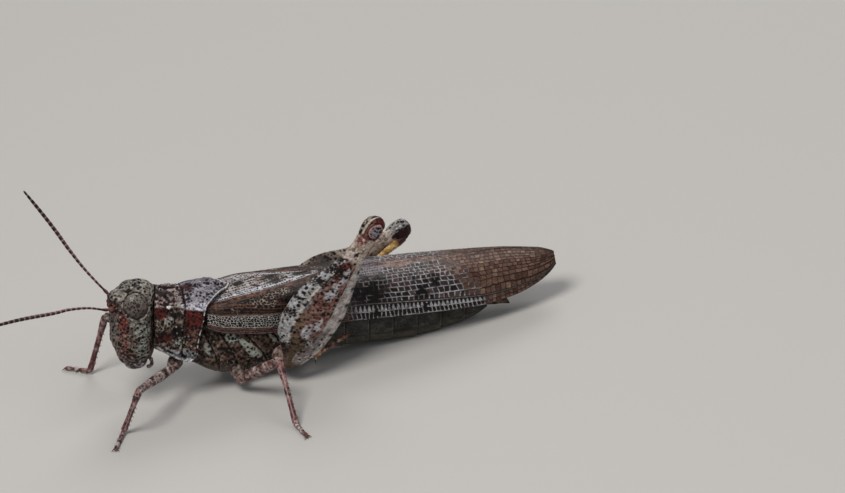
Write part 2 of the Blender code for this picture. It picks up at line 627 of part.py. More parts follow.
def build_trunk():
    solid("pronotum", pronotum_rings(), "pronotum_shell", walled=True)
    cutters = [solid("cut", tegmen_rings(s, CUT), walled=True) for _, s in SIDES]
    for (pair, name), joints in LEG_JOINTS.items():
        side = 1.0 if name == "left" else -1.0
        cutters.append(solid("cut", coxa_rings(joints[0], joints[1], side, 0.62, 0.42, CUT)))
    for name, side in SIDES:
        j = HIND_JOINTS[name]
        cutters.append(solid("cut", coxa_rings(j["coxa"], j["hip"], side, 0.85, 0.5, CUT)))
    cut_away(solid("thorax", thorax_rings(), "thorax_shell"), cutters)
    solid("abdomen", abdomen_rings(), "abdomen_shell")
    for name, side in SIDES:
        cercus = [(side * 0.98, 30.72, 5.75), (side * 1.06, 31.4, 5.8), (side * 1.0, 32.0, 5.82)]
        rod("cercus_" + name, cercus, (0.26, 0.24, 0.12), "abdomen_shell")
        cut_away(solid("tegmen_" + name, tegmen_rings(side), "tegmen_membrane", walled=True),
                 [solid("cut", pronotum_rings(2 * CUT), walled=True)])
        solid("hindwing_" + name, hindwing_rings(side), "hindwing_membrane")
    for name, sign in (("upper", 1.0), ("lower", -1.0)):
        valve = [(0.0, ABDOMEN_END + 0.06, 5.2 + 0.36 * sign), (0.0, 31.3, 5.2 + 0.36 * sign),
                 (0.0, 32.0, 5.2 + 0.42 * sign), (0.0, 32.5, 5.2 + 0.72 * sign)]
        rod("ovipositor_" + name, valve, (0.3, 0.33, 0.28, 0.14), "abdomen_shell", flatten=1.7)


def build_legs():
    for (pair, name), (coxa, hip, knee, ankle, claw) in LEG_JOINTS.items():
        side = 1.0 if name == "left" else -1.0
        tag = "_" + name
        femur = leg_segment(hip, knee, side, (0.4, 0.5, 0.4) if pair == "middle" else (0.4, 0.42, 0.34))
        tibia = leg_segment(knee, ankle, side, (0.3, 0.26, 0.27))
        solid(pair + "_coxa" + tag, coxa_rings(coxa, hip, side, 0.62, 0.42), "leg_shell")
        piece = solid(pair + "_femur" + tag, femur, "leg_shell")
        cut_away(piece, [solid("cut", leg_segment(knee, ankle, side, (0.3, 0.26, 0.27), CUT))])
        piece = solid(pair + "_tibia" + tag, tibia, "leg_shell")
        cut_away(piece, [tarsus("cut", ankle, claw, grow=CUT)])
        tarsus(pair + "_tarsus" + tag, ankle, claw, "leg_shell")
    for name, side in SIDES:
        j = HIND_JOINTS[name]
        tag = "_" + name
        solid("hind_coxa" + tag, coxa_rings(j["coxa"], j["hip"], side, 0.85, 0.5), "leg_shell")
        piece = solid("hind_femur" + tag, hind_femur_rings(name), "hind_femur_shell")
        cut_away(piece, [solid("cut", hind_tibia_rings(name, CUT))])
        piece = solid("hind_tibia" + tag, hind_tibia_rings(name), "hind_tibia_shell")
        cut_away(piece, [tarsus("cut", j["ankle"], j["claw"], grow=CUT)])
        tarsus("hind_tarsus" + tag, j["ankle"], j["claw"], "hind_tibia_shell")


build_head()
build_trunk()
build_legs()
for spare in [m for m in bpy.data.materials if m.name not in MATERIALS]:
    bpy.data.materials.remove(spare)
bpy.data.collections.remove(cutting)
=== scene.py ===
"""Looks of a band-winged grasshopper, built as dense shells, wings and legs over its solids.

Shapes are made in the body frame: x to the animal's left, y from the face to the tail, z up,
in millimetres. The body is pitched nose-up, and to_world() lays it on the floor in metres.
Markings are painted per point from the place on the body, and materials add the fine grain.
"""
import math

import bpy
import numpy as np
from mathutils import Matrix, Vector


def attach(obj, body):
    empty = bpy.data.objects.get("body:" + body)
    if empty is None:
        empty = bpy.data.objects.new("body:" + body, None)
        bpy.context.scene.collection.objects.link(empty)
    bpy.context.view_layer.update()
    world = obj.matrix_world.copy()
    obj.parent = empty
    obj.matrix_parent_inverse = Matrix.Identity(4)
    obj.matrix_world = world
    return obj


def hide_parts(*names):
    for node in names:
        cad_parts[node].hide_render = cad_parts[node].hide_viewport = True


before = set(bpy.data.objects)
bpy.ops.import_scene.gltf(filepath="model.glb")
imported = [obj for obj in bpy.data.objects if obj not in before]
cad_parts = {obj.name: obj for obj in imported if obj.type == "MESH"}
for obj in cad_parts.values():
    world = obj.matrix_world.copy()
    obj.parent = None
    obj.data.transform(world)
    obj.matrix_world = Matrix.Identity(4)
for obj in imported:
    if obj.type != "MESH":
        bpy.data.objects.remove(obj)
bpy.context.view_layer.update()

MM = 0.001
FLOOR_SLOPE = 0.15        # the floor in the body frame: its rise along y, and its z at y = 0
FLOOR_START = -0.78
BELLY_Y = 25.2            # middle of the flat on the belly, where the origin is
PITCH = math.atan(FLOOR_SLOPE)
COS_P, SIN_P = math.cos(PITCH), math.sin(PITCH)
FLOOR_UP = np.array([0, -SIN_P, COS_P])
ORIGIN_Y = BELLY_Y * COS_P + (FLOOR_SLOPE * BELLY_Y + FLOOR_START) * SIN_P
SIDES = (("left", 1.0), ("right", -1.0))
BRIGHTNESS = 0.80         # share of the picked colours that the shells reflect
# Rows and columns of each skin's grid of points.
GRIDS = {
    "head": (210, 320), "eye": (110, 170), "feeler": (420, 22), "jaw": (70, 110), "palp": (90, 18),
    "lip": (60, 120), "saddle": (170, 400), "thorax": (240, 330), "abdomen": (320, 220),
    "cercus": (50, 24), "valve": (60, 26), "forewing": (600, 160), "hindwing": (200, 80),
    "coxa": (60, 70), "femur": (130, 72), "tibia": (120, 60), "toe": (46, 24),
    "near_thigh": (340, 240), "far_thigh": (280, 200), "shank": (220, 70),
}


def turn(vectors):
    """Body frame directions to world directions."""
    v = np.asarray(vectors, float)
    return np.stack([v[..., 0], v[..., 1] * COS_P + v[..., 2] * SIN_P,
                     v[..., 2] * COS_P - v[..., 1] * SIN_P], axis=-1)


def to_world(points):
    """Body frame millimetres to metres on the floor."""
    shift = np.array([0.0, -ORIGIN_Y, -FLOOR_START * COS_P])
    return (turn(points) + shift) * MM


# --- numbers -------------------------------------------------------------------------

def unit(v):
    v = np.asarray(v, float)
    return v / np.maximum(np.linalg.norm(v, axis=-1, keepdims=True), 1e-12)


def step(a, b, x):
    """A smooth step from 0 at a to 1 at b."""
    t = np.clip((x - a) / (b - a), 0.0, 1.0)
    return t * t * (3.0 - 2.0 * t)


def hill(x, centre, width):
    """A smooth hump, 1 at the centre."""
    return np.exp(-((x - centre) / width) ** 2)


def table(keys, values):
    """A smooth curve through the given values (monotone between its knots)."""
    k, v = np.asarray(keys, float), np.asarray(values, float)
    slope = np.diff(v) / np.diff(k)
    tangent = np.zeros(len(k))
    for i in range(1, len(k) - 1):
        if slope[i - 1] * slope[i] > 0:
            tangent[i] = 2 * slope[i - 1] * slope[i] / (slope[i - 1] + slope[i])
    tangent[0], tangent[-1] = slope[0], slope[-1]

    def at(t):
        t = np.clip(t, k[0], k[-1])
        i = np.clip(np.searchsorted(k, t, side="right") - 1, 0, len(k) - 2)
        h = k[i + 1] - k[i]
        s = (t - k[i]) / h
        return ((1 + 2 * s) * (1 - s) ** 2 * v[i] + s * (1 - s) ** 2 * h * tangent[i]
                + s * s * (3 - 2 * s) * v[i + 1] + s * s * (s - 1) * h * tangent[i + 1])
    return at


def random_at(cell, seed):
    """A number from 0 to 1 for each whole-numbered place."""
    h = np.full(cell.shape[:-1], seed * 1013904223 + 12345, np.uint64)
    for axis in range(cell.shape[-1]):
        h = (h ^ cell[..., axis].astype(np.int64).astype(np.uint64)) * np.uint64(0x9E3779B97F4A7C15)
        h = h ^ (h >> np.uint64(29))
    return ((h >> np.uint64(20)) & np.uint64(0xFFFFFF)).astype(float) / 0x1000000


def noise(P, size, seed=0):
    """Smooth random values, 0 to 1, that change over the given size."""
    q = P / size
    cell = np.floor(q)
    f = q - cell
    f = f * f * (3 - 2 * f)
    dims = P.shape[-1]
    total = np.zeros(P.shape[:-1])
    for corner in range(2 ** dims):
        offset = np.array([(corner >> axis) & 1 for axis in range(dims)])
        weight = np.prod(np.where(offset, f, 1 - f), axis=-1)
        total += weight * random_at(cell + offset, seed)
    return total


def fractal(P, size, seed=0, octaves=3):
    """Noise of several sizes, each half of the one before, 0 to 1."""
    total, amount, norm = 0.0, 1.0, 0.0
    for k in range(octaves):
        total = total + amount * noise(P, size / 2 ** k, seed + 17 * k)
        norm += amount
        amount *= 0.55
    return total / norm


def cells(P, size, seed=0):
    """Distances to the nearest and second nearest cell centres, and the nearest cell's own number."""
    q = P / size
    home = np.floor(q)
    dims = P.shape[-1]
    first = np.full(P.shape[:-1], 9.0)
    second = np.full(P.shape[:-1], 9.0)
    key = np.zeros(P.shape[:-1])
    for index in range(3 ** dims):
        offset = np.array([(index // 3 ** axis) % 3 - 1 for axis in range(dims)])
        cell = home + offset
        away = np.zeros(P.shape[:-1])
        for axis in range(dims):
            centre = cell[..., axis] + 0.12 + 0.76 * random_at(cell, seed + 31 * axis + 1)
            away += (q[..., axis] - centre) ** 2
        away = np.sqrt(away)
        closer = away < first
        second = np.where(closer, first, np.minimum(second, away))
        first = np.where(closer, away, first)
        key = np.where(closer, random_at(cell, seed + 7), key)
    return first, second, key


def dots(P, size, radius, share, seed=0):
    """Scattered round spots: 1 inside a spot, 0 outside. radius is in the units of P."""
    first, _, key = cells(P, size, seed)
    own = radius / size * (0.55 + 0.9 * ((key * 7.31) % 1.0))
    return np.where(key < share, step(own * 1.15, own * 0.7, first), 0.0)


def segment_distance(a, b, points):
    """Distance in the (a, b) plane to a line through points."""
    best = np.full(a.shape, 1e9)
    for (a0, b0), (a1, b1) in zip(points[:-1], points[1:]):
        da, db = a1 - a0, b1 - b0
        t = np.clip(((a - a0) * da + (b - b0) * db) / (da * da + db * db), 0, 1)
        best = np.minimum(best, np.hypot(a - a0 - da * t, b - b0 - db * t))
    return best


def patch(a, b, centre, size, soft=0.25, lean=0.0):
    """An oval mask in the (a, b) plane, 1 inside, with a soft edge. lean turns it, in radians."""
    da, db = a - centre[0], b - centre[1]
    c, s = math.cos(lean), math.sin(lean)
    away = np.hypot((da * c + db * s) / size[0], (db * c - da * s) / size[1])
    return step(1 + soft, 1 - soft, away)


def warped(P, amount, size, seed):
    """P with its places shaken, so that the edges of markings come out ragged."""
    coarse = np.stack([fractal(P, size, seed + k, 2) for k in range(3)], axis=-1) - 0.5
    fine = np.stack([noise(P, 0.15, seed + 5 + k) for k in range(3)], axis=-1) - 0.5
    return P + 2 * amount * coarse + 0.2 * fine


def grain(P, seed, low=0.6, high=1.4, size=0.12):
    """Uneven brightness over the finest markings."""
    return low + (high - low) * step(0.34, 0.66, fractal(P, size, seed, 2))


def linear(colour):
    """Screen colour, 0 to 255, to a linear reflectance."""
    c = np.asarray(colour, float) / 255.0
    return np.where(c < 0.04045, c / 12.92, ((c + 0.055) / 1.055) ** 2.4) * BRIGHTNESS


class Paint:
    """A colour for every point, painted over in layers."""

    def __init__(self, shape, colour):
        self.rgb = np.empty(tuple(shape) + (3,))
        self.rgb[:] = linear(colour)

    def over(self, colour, mask):
        mask = np.clip(mask, 0.0, 1.0)[..., None]
        self.rgb += (linear(colour) - self.rgb) * mask
        return self

    def patches(self, colour, a, b, marks, soft=0.25, mask=1.0):
        """Oval marks of one colour in the (a, b) plane, each given by its centre and size."""
        for centre, size in marks:
            self.over(colour, patch(a, b, centre, size, soft) * mask)
        return self

    def dim(self, amount):
        self.rgb *= amount[..., None]
        return self


# --- meshes --------------------------------------------------------------------------

def normals(P, wrap):
    """Unit normals of a grid of points (rows along, columns around)."""
    along = np.gradient(P, axis=0)
    if wrap:
        around = (np.roll(P, -1, axis=1) - np.roll(P, 1, axis=1)) * 0.5
    else:
        around = np.gradient(P, axis=1)
    return unit(np.cross(around, along))


def outward_sign(P, N, axis_point=None):
    """+1 if the grid's normals point away from its middle line or axis point, otherwise -1."""
    centre = P.mean(axis=1, keepdims=True) if axis_point is None else np.asarray(axis_point, float)
    return 1.0 if float(((P - centre) * N).sum()) > 0 else -1.0


def raised(P, height, wrap=True, axis_point=None):
    """The grid moved outwards by a height at every point."""
    N = normals(P, wrap)
    return P + N * (outward_sign(P, N, axis_point) * height)[..., None]


def new_object(name, data):
    obj = bpy.data.objects.new(name, data)
    bpy.context.scene.collection.objects.link(obj)
    return obj


class Shape:
    """Grids of points with colours, gathered for one mesh."""

    def __init__(self):
        self.points, self.colours, self.faces, self.maps = [], [], {3: [], 4: []}, {3: [], 4: []}
        self.count = 0
        self.grids = 0

    def add(self, P, rgb, wrap=True, axis_point=None):
        """A grid of points with its colours. A wrapped one is closed round its rows and capped."""
        rows, columns = P.shape[:2]
        rgb = np.broadcast_to(rgb, P.shape)
        N = normals(P, wrap)
        out = outward_sign(P, N, axis_point)
        index = np.arange(rows * columns).reshape(rows, columns) + self.count
        right = np.roll(index, -1, axis=1) if wrap else index[:, 1:]
        left = index if wrap else index[:, :-1]
        quads = np.stack([left[:-1], right[:-1], right[1:], left[1:]], axis=-1).reshape(-1, 4)
        steps = quads.shape[0] // (rows - 1)
        i, j = np.meshgrid(np.arange(rows - 1), np.arange(steps), indexing="ij")
        corners = [(j, i), (j + 1, i), (j + 1, i + 1), (j, i + 1)]
        uv = np.stack([np.stack([u / steps, v / (rows - 1)], axis=-1) for u, v in corners], axis=-2)
        uv = uv.reshape(-1, 4, 2)
        if out < 0:
            quads, uv = quads[:, ::-1], uv[:, ::-1]
        self.faces[4].append(quads)
        self.maps[4].append((self.grids, uv))
        self.points.append(P.reshape(-1, 3))
        self.colours.append(rgb.reshape(-1, 3))
        self.count += rows * columns
        if wrap:
            for row, up in ((0, 1), (rows - 1, -1)):
                ring = index[row]
                self.points.append(P[row].mean(axis=0)[None])
                self.colours.append(rgb[row].mean(axis=0)[None])
                fan = np.stack([np.full(columns, self.count), np.roll(ring, -1), ring], axis=-1)
                place = np.zeros((columns, 3, 2)) + (0.5, row / (rows - 1))
                around = np.arange(columns) / columns
                place[:, 1, 0], place[:, 2, 0] = around + 1 / columns, around
                if up * out < 0:
                    fan, place = fan[:, ::-1], place[:, ::-1]
                self.faces[3].append(fan)
                self.maps[3].append((self.grids, place))
                self.count += 1
        self.grids += 1
        return self

    def hairs(self, roots, out, lean, length, radius, colour, seed):
        """Stiff hairs: thin three-sided spikes that stand at the roots and lean the given way."""
        rng = np.random.default_rng(seed)
        count = len(roots)
        own = length * rng.uniform(0.6, 1.25, (count, 1))
        way = unit(unit(out) + np.asarray(lean, float) + rng.normal(0, 0.18, (count, 3)))
        first = unit(np.cross(way, rng.normal(0, 1, (count, 3))))
        second = np.cross(way, first)
        corner = [roots - way * 0.02 + radius * (math.cos(a) * first + math.sin(a) * second)
                  for a in (0.0, 2.094, 4.189)]
        self.points.append(np.stack(corner + [roots + way * own], axis=1).reshape(-1, 3))
        self.colours.append(np.broadcast_to(linear(colour), (count * 4, 3)))
        base = self.count + 4 * np.arange(count)[:, None]
        tris = np.concatenate([np.stack([base[:, 0] + i, base[:, 0] + j, base[:, 0] + 3], axis=1)
                               for i, j in ((0, 1), (1, 2), (2, 0))])
        spot = rng.uniform(0.05, 0.95, (len(tris), 1, 2))
        self.faces[3].append(tris)
        self.maps[3].append((self.grids, spot + np.array([[0, 0], [0.004, 0], [0, 0.004]])))
        self.count += 4 * count
        self.grids += 1
        return self

    def build(self, name, material):
        """One object of all the grids, with its colours in "tint" and a map of its own."""
        points = to_world(np.concatenate(self.points))
        points[:, 2] = np.maximum(points[:, 2], 0.0)
        across = math.ceil(math.sqrt(self.grids))
        loops, starts, totals, uvs = [], [], [], []
        at = 0
        for size in (4, 3):
            for faces, (grid, uv) in zip(self.faces[size], self.maps[size]):
                loops.append(faces.reshape(-1))
                starts.append(at + size * np.arange(len(faces)))
                totals.append(np.full(len(faces), size))
                corner = np.array([grid % across, grid // across], float)
                uvs.append(((corner + 0.02 + 0.96 * uv) / across).reshape(-1, 2))
                at += size * len(faces)
        mesh = bpy.data.meshes.new(name)
        mesh.vertices.add(len(points))
        mesh.vertices.foreach_set("co", points.astype(np.float32).ravel())
        loops = np.concatenate(loops)
        mesh.loops.add(len(loops))
        mesh.loops.foreach_set("vertex_index", loops.astype(np.int32))
        totals = np.concatenate(totals)
        mesh.polygons.add(len(totals))
        mesh.polygons.foreach_set("loop_start", np.concatenate(starts).astype(np.int32))
        mesh.polygons.foreach_set("loop_total", totals.astype(np.int32))
        mesh.update(calc_edges=True)
        mesh.validate()
        uv_map = mesh.uv_layers.new(name="OFBake")
        uv_map.data.foreach_set("uv", np.concatenate(uvs).astype(np.float32).ravel())
        tint = mesh.color_attributes.new("tint", "FLOAT_COLOR", "POINT")
        colours = np.ones((len(points), 4), np.float32)
        colours[:, :3] = np.clip(np.concatenate(self.colours), 0.0, 0.95)
        tint.data.foreach_set("color", colours.ravel())
        mesh.shade_smooth()
        mesh.materials.append(material)
        return new_object(name, mesh)

    def place(self, name, material, slot, *nodes):
        """Build the piece, let it ride on the body and stand for its CAD nodes."""
        obj = self.build(name, material)
        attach(obj, "root")
        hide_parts(*nodes)
        return obj


def smooth_path(points, count):
    """Points on a smooth curve through the given ones, evenly spaced."""
    p = np.asarray(points, float)
    q = np.concatenate([[2 * p[0] - p[1]], p, [2 * p[-1] - p[-2]]])
    out = []
    for i in range(1, len(q) - 2):
        t = np.linspace(0, 1, 24, endpoint=False)[:, None]
        a, b, c, d = q[i - 1], q[i], q[i + 1], q[i + 2]
        out.append(0.5 * (2 * b + (c - a) * t + (2 * a - 5 * b + 4 * c - d) * t ** 2
                          + (3 * b - a - 3 * c + d) * t ** 3))
    out = np.concatenate(out + [p[-1:]])
    length = np.r_[0, np.cumsum(np.linalg.norm(np.diff(out, axis=0), axis=1))]
    at = np.linspace(0, length[-1], count)
    return np.stack([np.interp(at, length, out[:, k]) for k in range(3)], axis=1)


def tube(path, radii, sides=16, flat=1.0, up=(0.0, 0.0, 1.0)):
    """Rings of a tube round a path. flat squashes it along up. Returns its grid and the angles."""
    path = np.asarray(path, float)
    radii = np.broadcast_to(radii, len(path))
    along = unit(np.gradient(path, axis=0))
    across = unit(np.cross(along, np.asarray(up, float)))
    high = np.cross(across, along)
    angle = np.linspace(0, 2 * math.pi, sides, endpoint=False)
    ring = (np.cos(angle)[None, :, None] * high[:, None] * flat
            + np.sin(angle)[None, :, None] * across[:, None])
    return path[:, None] + radii[:, None, None] * ring, angle


def cone(start, direction, length, radius, sides=6, rows=5, bend=0.0, side=(0, 0, 1)):
    """A spine: a tube that narrows to a point."""
    t = np.linspace(0, 1, rows)
    path = np.asarray(start, float) + unit(direction) * (t * length)[:, None] \
        + np.asarray(side, float) * (bend * length * t * t)[:, None]
    up = unit(np.asarray(direction) + [0.31, 0.47, 0.53])       # any way but the spine's own
    return tube(path, radius * (1 - 0.93 * t ** 1.4), sides, up=up)[0]


def oval_rings(place, low, mid, high, half, columns, power, upright=False):
    """Rings of rounded boxes, from low over mid to high and half wide, along y or, if upright, up z."""
    angle = np.linspace(0, 2 * math.pi, columns, endpoint=False)
    c, s = (np.sign(v) * np.abs(v) ** (2 / power) for v in (np.cos(angle), np.sin(angle)))
    across = half[:, None] * s
    reach = mid[:, None] + np.where(c > 0, (high - mid)[:, None], (mid - low)[:, None]) * c
    along = place[:, None] * np.ones(columns)
    return np.stack([across, reach, along] if upright else [across, along, reach], axis=-1)


def even_ring(P):
    """Each row of a closed grid spaced evenly round its ring."""
    out = np.empty_like(P)
    for i, ring in enumerate(P):
        closed = np.vstack([ring, ring[:1]])
        d = np.r_[0, np.cumsum(np.linalg.norm(np.diff(closed, axis=0), axis=1))]
        at = np.linspace(0, d[-1], P.shape[1], endpoint=False)
        out[i] = np.stack([np.interp(at, d, closed[:, k]) for k in range(3)], axis=1)
    return out


# --- materials -----------------------------------------------------------------------

def shell_material(name, rough=0.55, spread=0.15, grain=14000.0, relief=0.35, depth=0.000012,
                   mottle=0.22, coat=0.0, coat_rough=0.2, specular=0.16):
    """A chitin shell: the painted tint, broken by fine mottling, with its own grain and gloss."""
    mat = bpy.data.materials.new(name)
    mat.use_nodes = True
    tree = mat.node_tree
    shader = tree.nodes["Principled BSDF"]

    def new(kind, operation=None, **values):
        node = tree.nodes.new("ShaderNode" + kind)
        if operation:
            node.operation = operation
        for socket, value in values.items():
            node.inputs[socket.replace("_", " ")].default_value = value
        return node

    place, tint = new("TexCoord"), new("Attribute")
    tint.attribute_name = "tint"
    fine = new("TexNoise", Scale=grain, Detail=4.0)
    pits = new("TexVoronoi", Scale=grain * 1.3)
    level = new("MapRange", From_Min=0.3, From_Max=0.7, To_Min=1.0 - mottle, To_Max=1.0 + mottle)
    gloss = new("MapRange", To_Min=rough - spread, To_Max=rough + spread)
    mixed, both = new("VectorMath", "SCALE"), new("Math", "ADD")
    bump = new("Bump", Strength=relief, Distance=depth)
    for source, output, target, socket in (
            (place, "Object", fine, "Vector"), (place, "Object", pits, "Vector"),
            (fine, "Fac", level, "Value"), (tint, "Color", mixed, 0), (level, "Result", mixed, "Scale"),
            (mixed, "Vector", shader, "Base Color"), (fine, "Fac", gloss, "Value"),
            (gloss, "Result", shader, "Roughness"), (fine, "Fac", both, 0), (pits, "Distance", both, 1),
            (both, "Value", bump, "Height"), (bump, "Normal", shader, "Normal")):
        tree.links.new(source.outputs[output], target.inputs[socket])
    shader.inputs["Coat Weight"].default_value = coat
    shader.inputs["Coat Roughness"].default_value = coat_rough
    shader.inputs["Specular IOR Level"].default_value = specular
    return mat


HEAD_SHELL = shell_material("head_shell_look", rough=0.52, coat=0.02)
EYE_LENS = shell_material("eye_lens_look", rough=0.3, spread=0.08, grain=26000.0, relief=0.5,
                          depth=0.000008, coat=0.45, coat_rough=0.12)
FEELER = shell_material("feeler_look", rough=0.45, coat=0.03)
MOUTH = shell_material("mouth_look", rough=0.38, spread=0.12, coat=0.08, specular=0.3)
SADDLE = shell_material("saddle_look", rough=0.6, grain=11000.0, relief=0.6)
THORAX = shell_material("thorax_look", rough=0.52, coat=0.02)
ABDOMEN = shell_material("abdomen_look", rough=0.46, coat=0.04, grain=16000.0)
WING = shell_material("wing_look", rough=0.5, grain=18000.0, relief=0.25, coat=0.02)
UNDERWING = shell_material("underwing_look", rough=0.4, grain=9000.0, relief=0.2, coat=0.15)
LEG = shell_material("leg_look", rough=0.46, coat=0.03)
THIGH = shell_material("thigh_look", rough=0.46, grain=12000.0, relief=0.5, coat=0.03)
SHANK = shell_material("shank_look", rough=0.42, coat=0.06, specular=0.25)


# --- head ----------------------------------------------------------------------------

HEAD_TOP = 10.10
HEAD_BOTTOM = 3.60
EYE_CENTRE = np.array([1.47, 2.08, 8.67])
EYE_RADII = np.array([0.60, 0.96, 1.08])
EYE_LEAN = math.atan(0.28)          # how far the top of an eye leans inwards
FACE_Y = table([HEAD_BOTTOM, 3.85, 4.3, 4.7, 5.2, 6.5, 7.4, 8.2, 8.75, 9.1, 9.4, 9.8, 10.0, HEAD_TOP],
               [1.1, 0.78, 0.52, 0.42, 0.34, 0.38, 0.36, 0.31, 0.28, 0.36, 0.74, 1.55, 1.98, 2.4])
NAPE_Y = table([HEAD_BOTTOM, 3.85, 4.3, 5.0, 5.5, 7.0, 8.3, 9.0, 9.5, 9.8, 10.0, HEAD_TOP],
               [3.0, 3.38, 3.56, 3.64, 3.68, 3.7, 3.74, 3.86, 3.82, 3.6, 3.1, 2.6])
HEAD_HALF = table([HEAD_BOTTOM, 3.85, 4.3, 4.8, 5.5, 6.5, 7.5, 8.4, 9.2, 9.7, 10.0, HEAD_TOP],
                  [1.2, 1.5, 1.75, 1.94, 2.04, 2.1, 2.05, 1.9, 1.55, 1.15, 0.8, 0.35])
COSTA_HALF = table([4.6, 6.0, 7.6, 8.3, 9.0, 9.7], [0.62, 0.5, 0.42, 0.4, 0.32, 0.26])
CHEEK_RIDGE_X = table([4.6, 6.5, 7.9], [1.42, 1.26, 1.12])
VERTEX_RIDGE_X = table([0.2, 0.5, 1.0, 1.6, 2.2], [0.14, 0.34, 0.45, 0.52, 0.62])
SOCKET = (0.74, 8.36)               # x and z of a feeler's socket
OCELLUS_Z = 7.72                    # the simple eye in the middle of the face
SIDE_OCELLUS = (0.62, 0.55)         # x and y of the two simple eyes before the compound ones
LABRUM_SEAM_Z = 4.66


def head_grid():
    rows, columns = GRIDS["head"]
    t = np.linspace(0, 1, rows)
    z = HEAD_BOTTOM + (HEAD_TOP - HEAD_BOTTOM) * (1 - np.cos(math.pi * (0.12 + 0.88 * t)))
    z = HEAD_BOTTOM + (z - z[0]) / (z[-1] - z[0]) * (HEAD_TOP - HEAD_BOTTOM)
    front, back = FACE_Y(z), NAPE_Y(z)
    P = oval_rings(z, front, 0.5 * (front + back), back, HEAD_HALF(z), columns, 2.5, upright=True)
    P[..., 0] *= 1 - 0.36 * step(8.8, 9.8, P[..., 2]) * step(2.4, 0.7, P[..., 1])
    return even_ring(P)


def eye_distance(P):
    """How far points are from the middle of the nearer eye, as a share of its radius."""
    across = np.abs(P[..., 0]) - EYE_CENTRE[0]
    along, high = P[..., 1] - EYE_CENTRE[1], P[..., 2] - EYE_CENTRE[2]
    c, s = math.cos(EYE_LEAN), math.sin(EYE_LEAN)
    return np.sqrt(((across * c + high * s) / EYE_RADII[0]) ** 2 + (along / EYE_RADII[1]) ** 2
                   + ((high * c - across * s) / EYE_RADII[2]) ** 2)


def side_ocellus(P, z):
    """Distance to the nearer of the two side ocelli, at the height z."""
    x, y = SIDE_OCELLUS
    return np.sqrt((np.abs(P[..., 0]) - x) ** 2 + (P[..., 1] - y) ** 2 + (P[..., 2] - z) ** 2)


def head_relief(P):
    X, Y, Z = np.abs(P[..., 0]), P[..., 1], P[..., 2]
    face = step(0.95, 0.45, Y - FACE_Y(Z))
    side = step(1.3, 1.6, X)
    h = 0.05 * (fractal(P, 0.5, 3) - 0.5) + 0.03 * (fractal(P, 0.14, 4) - 0.5)
    # keels of the face, the ridge before the cheek, and the sockets
    costa = COSTA_HALF(Z)
    keels = 0.10 * hill(X, costa, 0.075) + 0.07 * step(costa + 0.1, costa - 0.06, X)
    h += face * step(4.7, 5.0, Z) * (keels - 0.05 * hill(X, 0, 0.16) * step(6.0, 6.6, Z))
    cheek_ridge = hill(X, CHEEK_RIDGE_X(Z), 0.075)
    h += 0.085 * cheek_ridge * step(8.0, 7.6, Z) * step(4.6, 4.9, Z) * step(1.9, 1.4, Y)
    socket = np.hypot(X - SOCKET[0], Z - SOCKET[1])
    h += face * (0.10 * hill(socket, 0.42, 0.07) - 0.2 * step(0.36, 0.22, socket))
    # simple eyes, and the rim and seat of the compound ones
    ocellus = np.hypot(X, Z - OCELLUS_Z)
    h += face * (0.07 * step(0.17, 0.05, ocellus) - 0.04 * hill(ocellus, 0.2, 0.04))
    second = side_ocellus(P, 9.2)
    h += 0.07 * step(0.2, 0.08, second) - 0.04 * hill(second, 0.23, 0.04)
    away = eye_distance(P)
    h += 0.07 * hill(away, 1.13, 0.055) - 0.05 * hill(away, 1.03, 0.03) - 0.22 * step(1.0, 0.88, away)
    # seams of the cheek, its swelling, the top of the head
    h -= 0.06 * hill(segment_distance(Y, Z, [(1.8, 7.5), (1.62, 6.2), (1.45, 4.7)]), 0, 0.055) * side
    h -= 0.05 * hill(segment_distance(Y, Z, [(3.0, 8.1), (2.95, 6.3), (2.5, 4.4)]), 0, 0.06) * side
    h += 0.05 * patch(Y, Z, (2.25, 6.0), (0.5, 1.2), 0.6) * side
    top = step(9.15, 9.5, Z)
    vertex = VERTEX_RIDGE_X(Y)
    h += top * step(2.4, 1.7, Y) * (0.075 * hill(X, vertex, 0.07) - 0.06 * step(vertex, vertex - 0.2, X))
    h += 0.03 * top * hill(X, 0, 0.05) * step(0.5, 1.0, Y)
    h -= 0.07 * hill(Z + 0.25 * (Y - 0.9), LABRUM_SEAM_Z, 0.05) * step(2.0, 1.6, Y)
    # wrinkles down the cheek, and pits everywhere
    wrinkle = hill((Z * 3.1 + 1.2 * fractal(P, 0.6, 8)) % 1.0, 0.5, 0.18)
    h -= 0.03 * wrinkle * side * patch(Y, Z, (2.3, 6.2), (0.55, 1.5), 0.3)
    return h - 0.018 * step(0.42, 0.15, cells(P, 0.16, 5)[0])


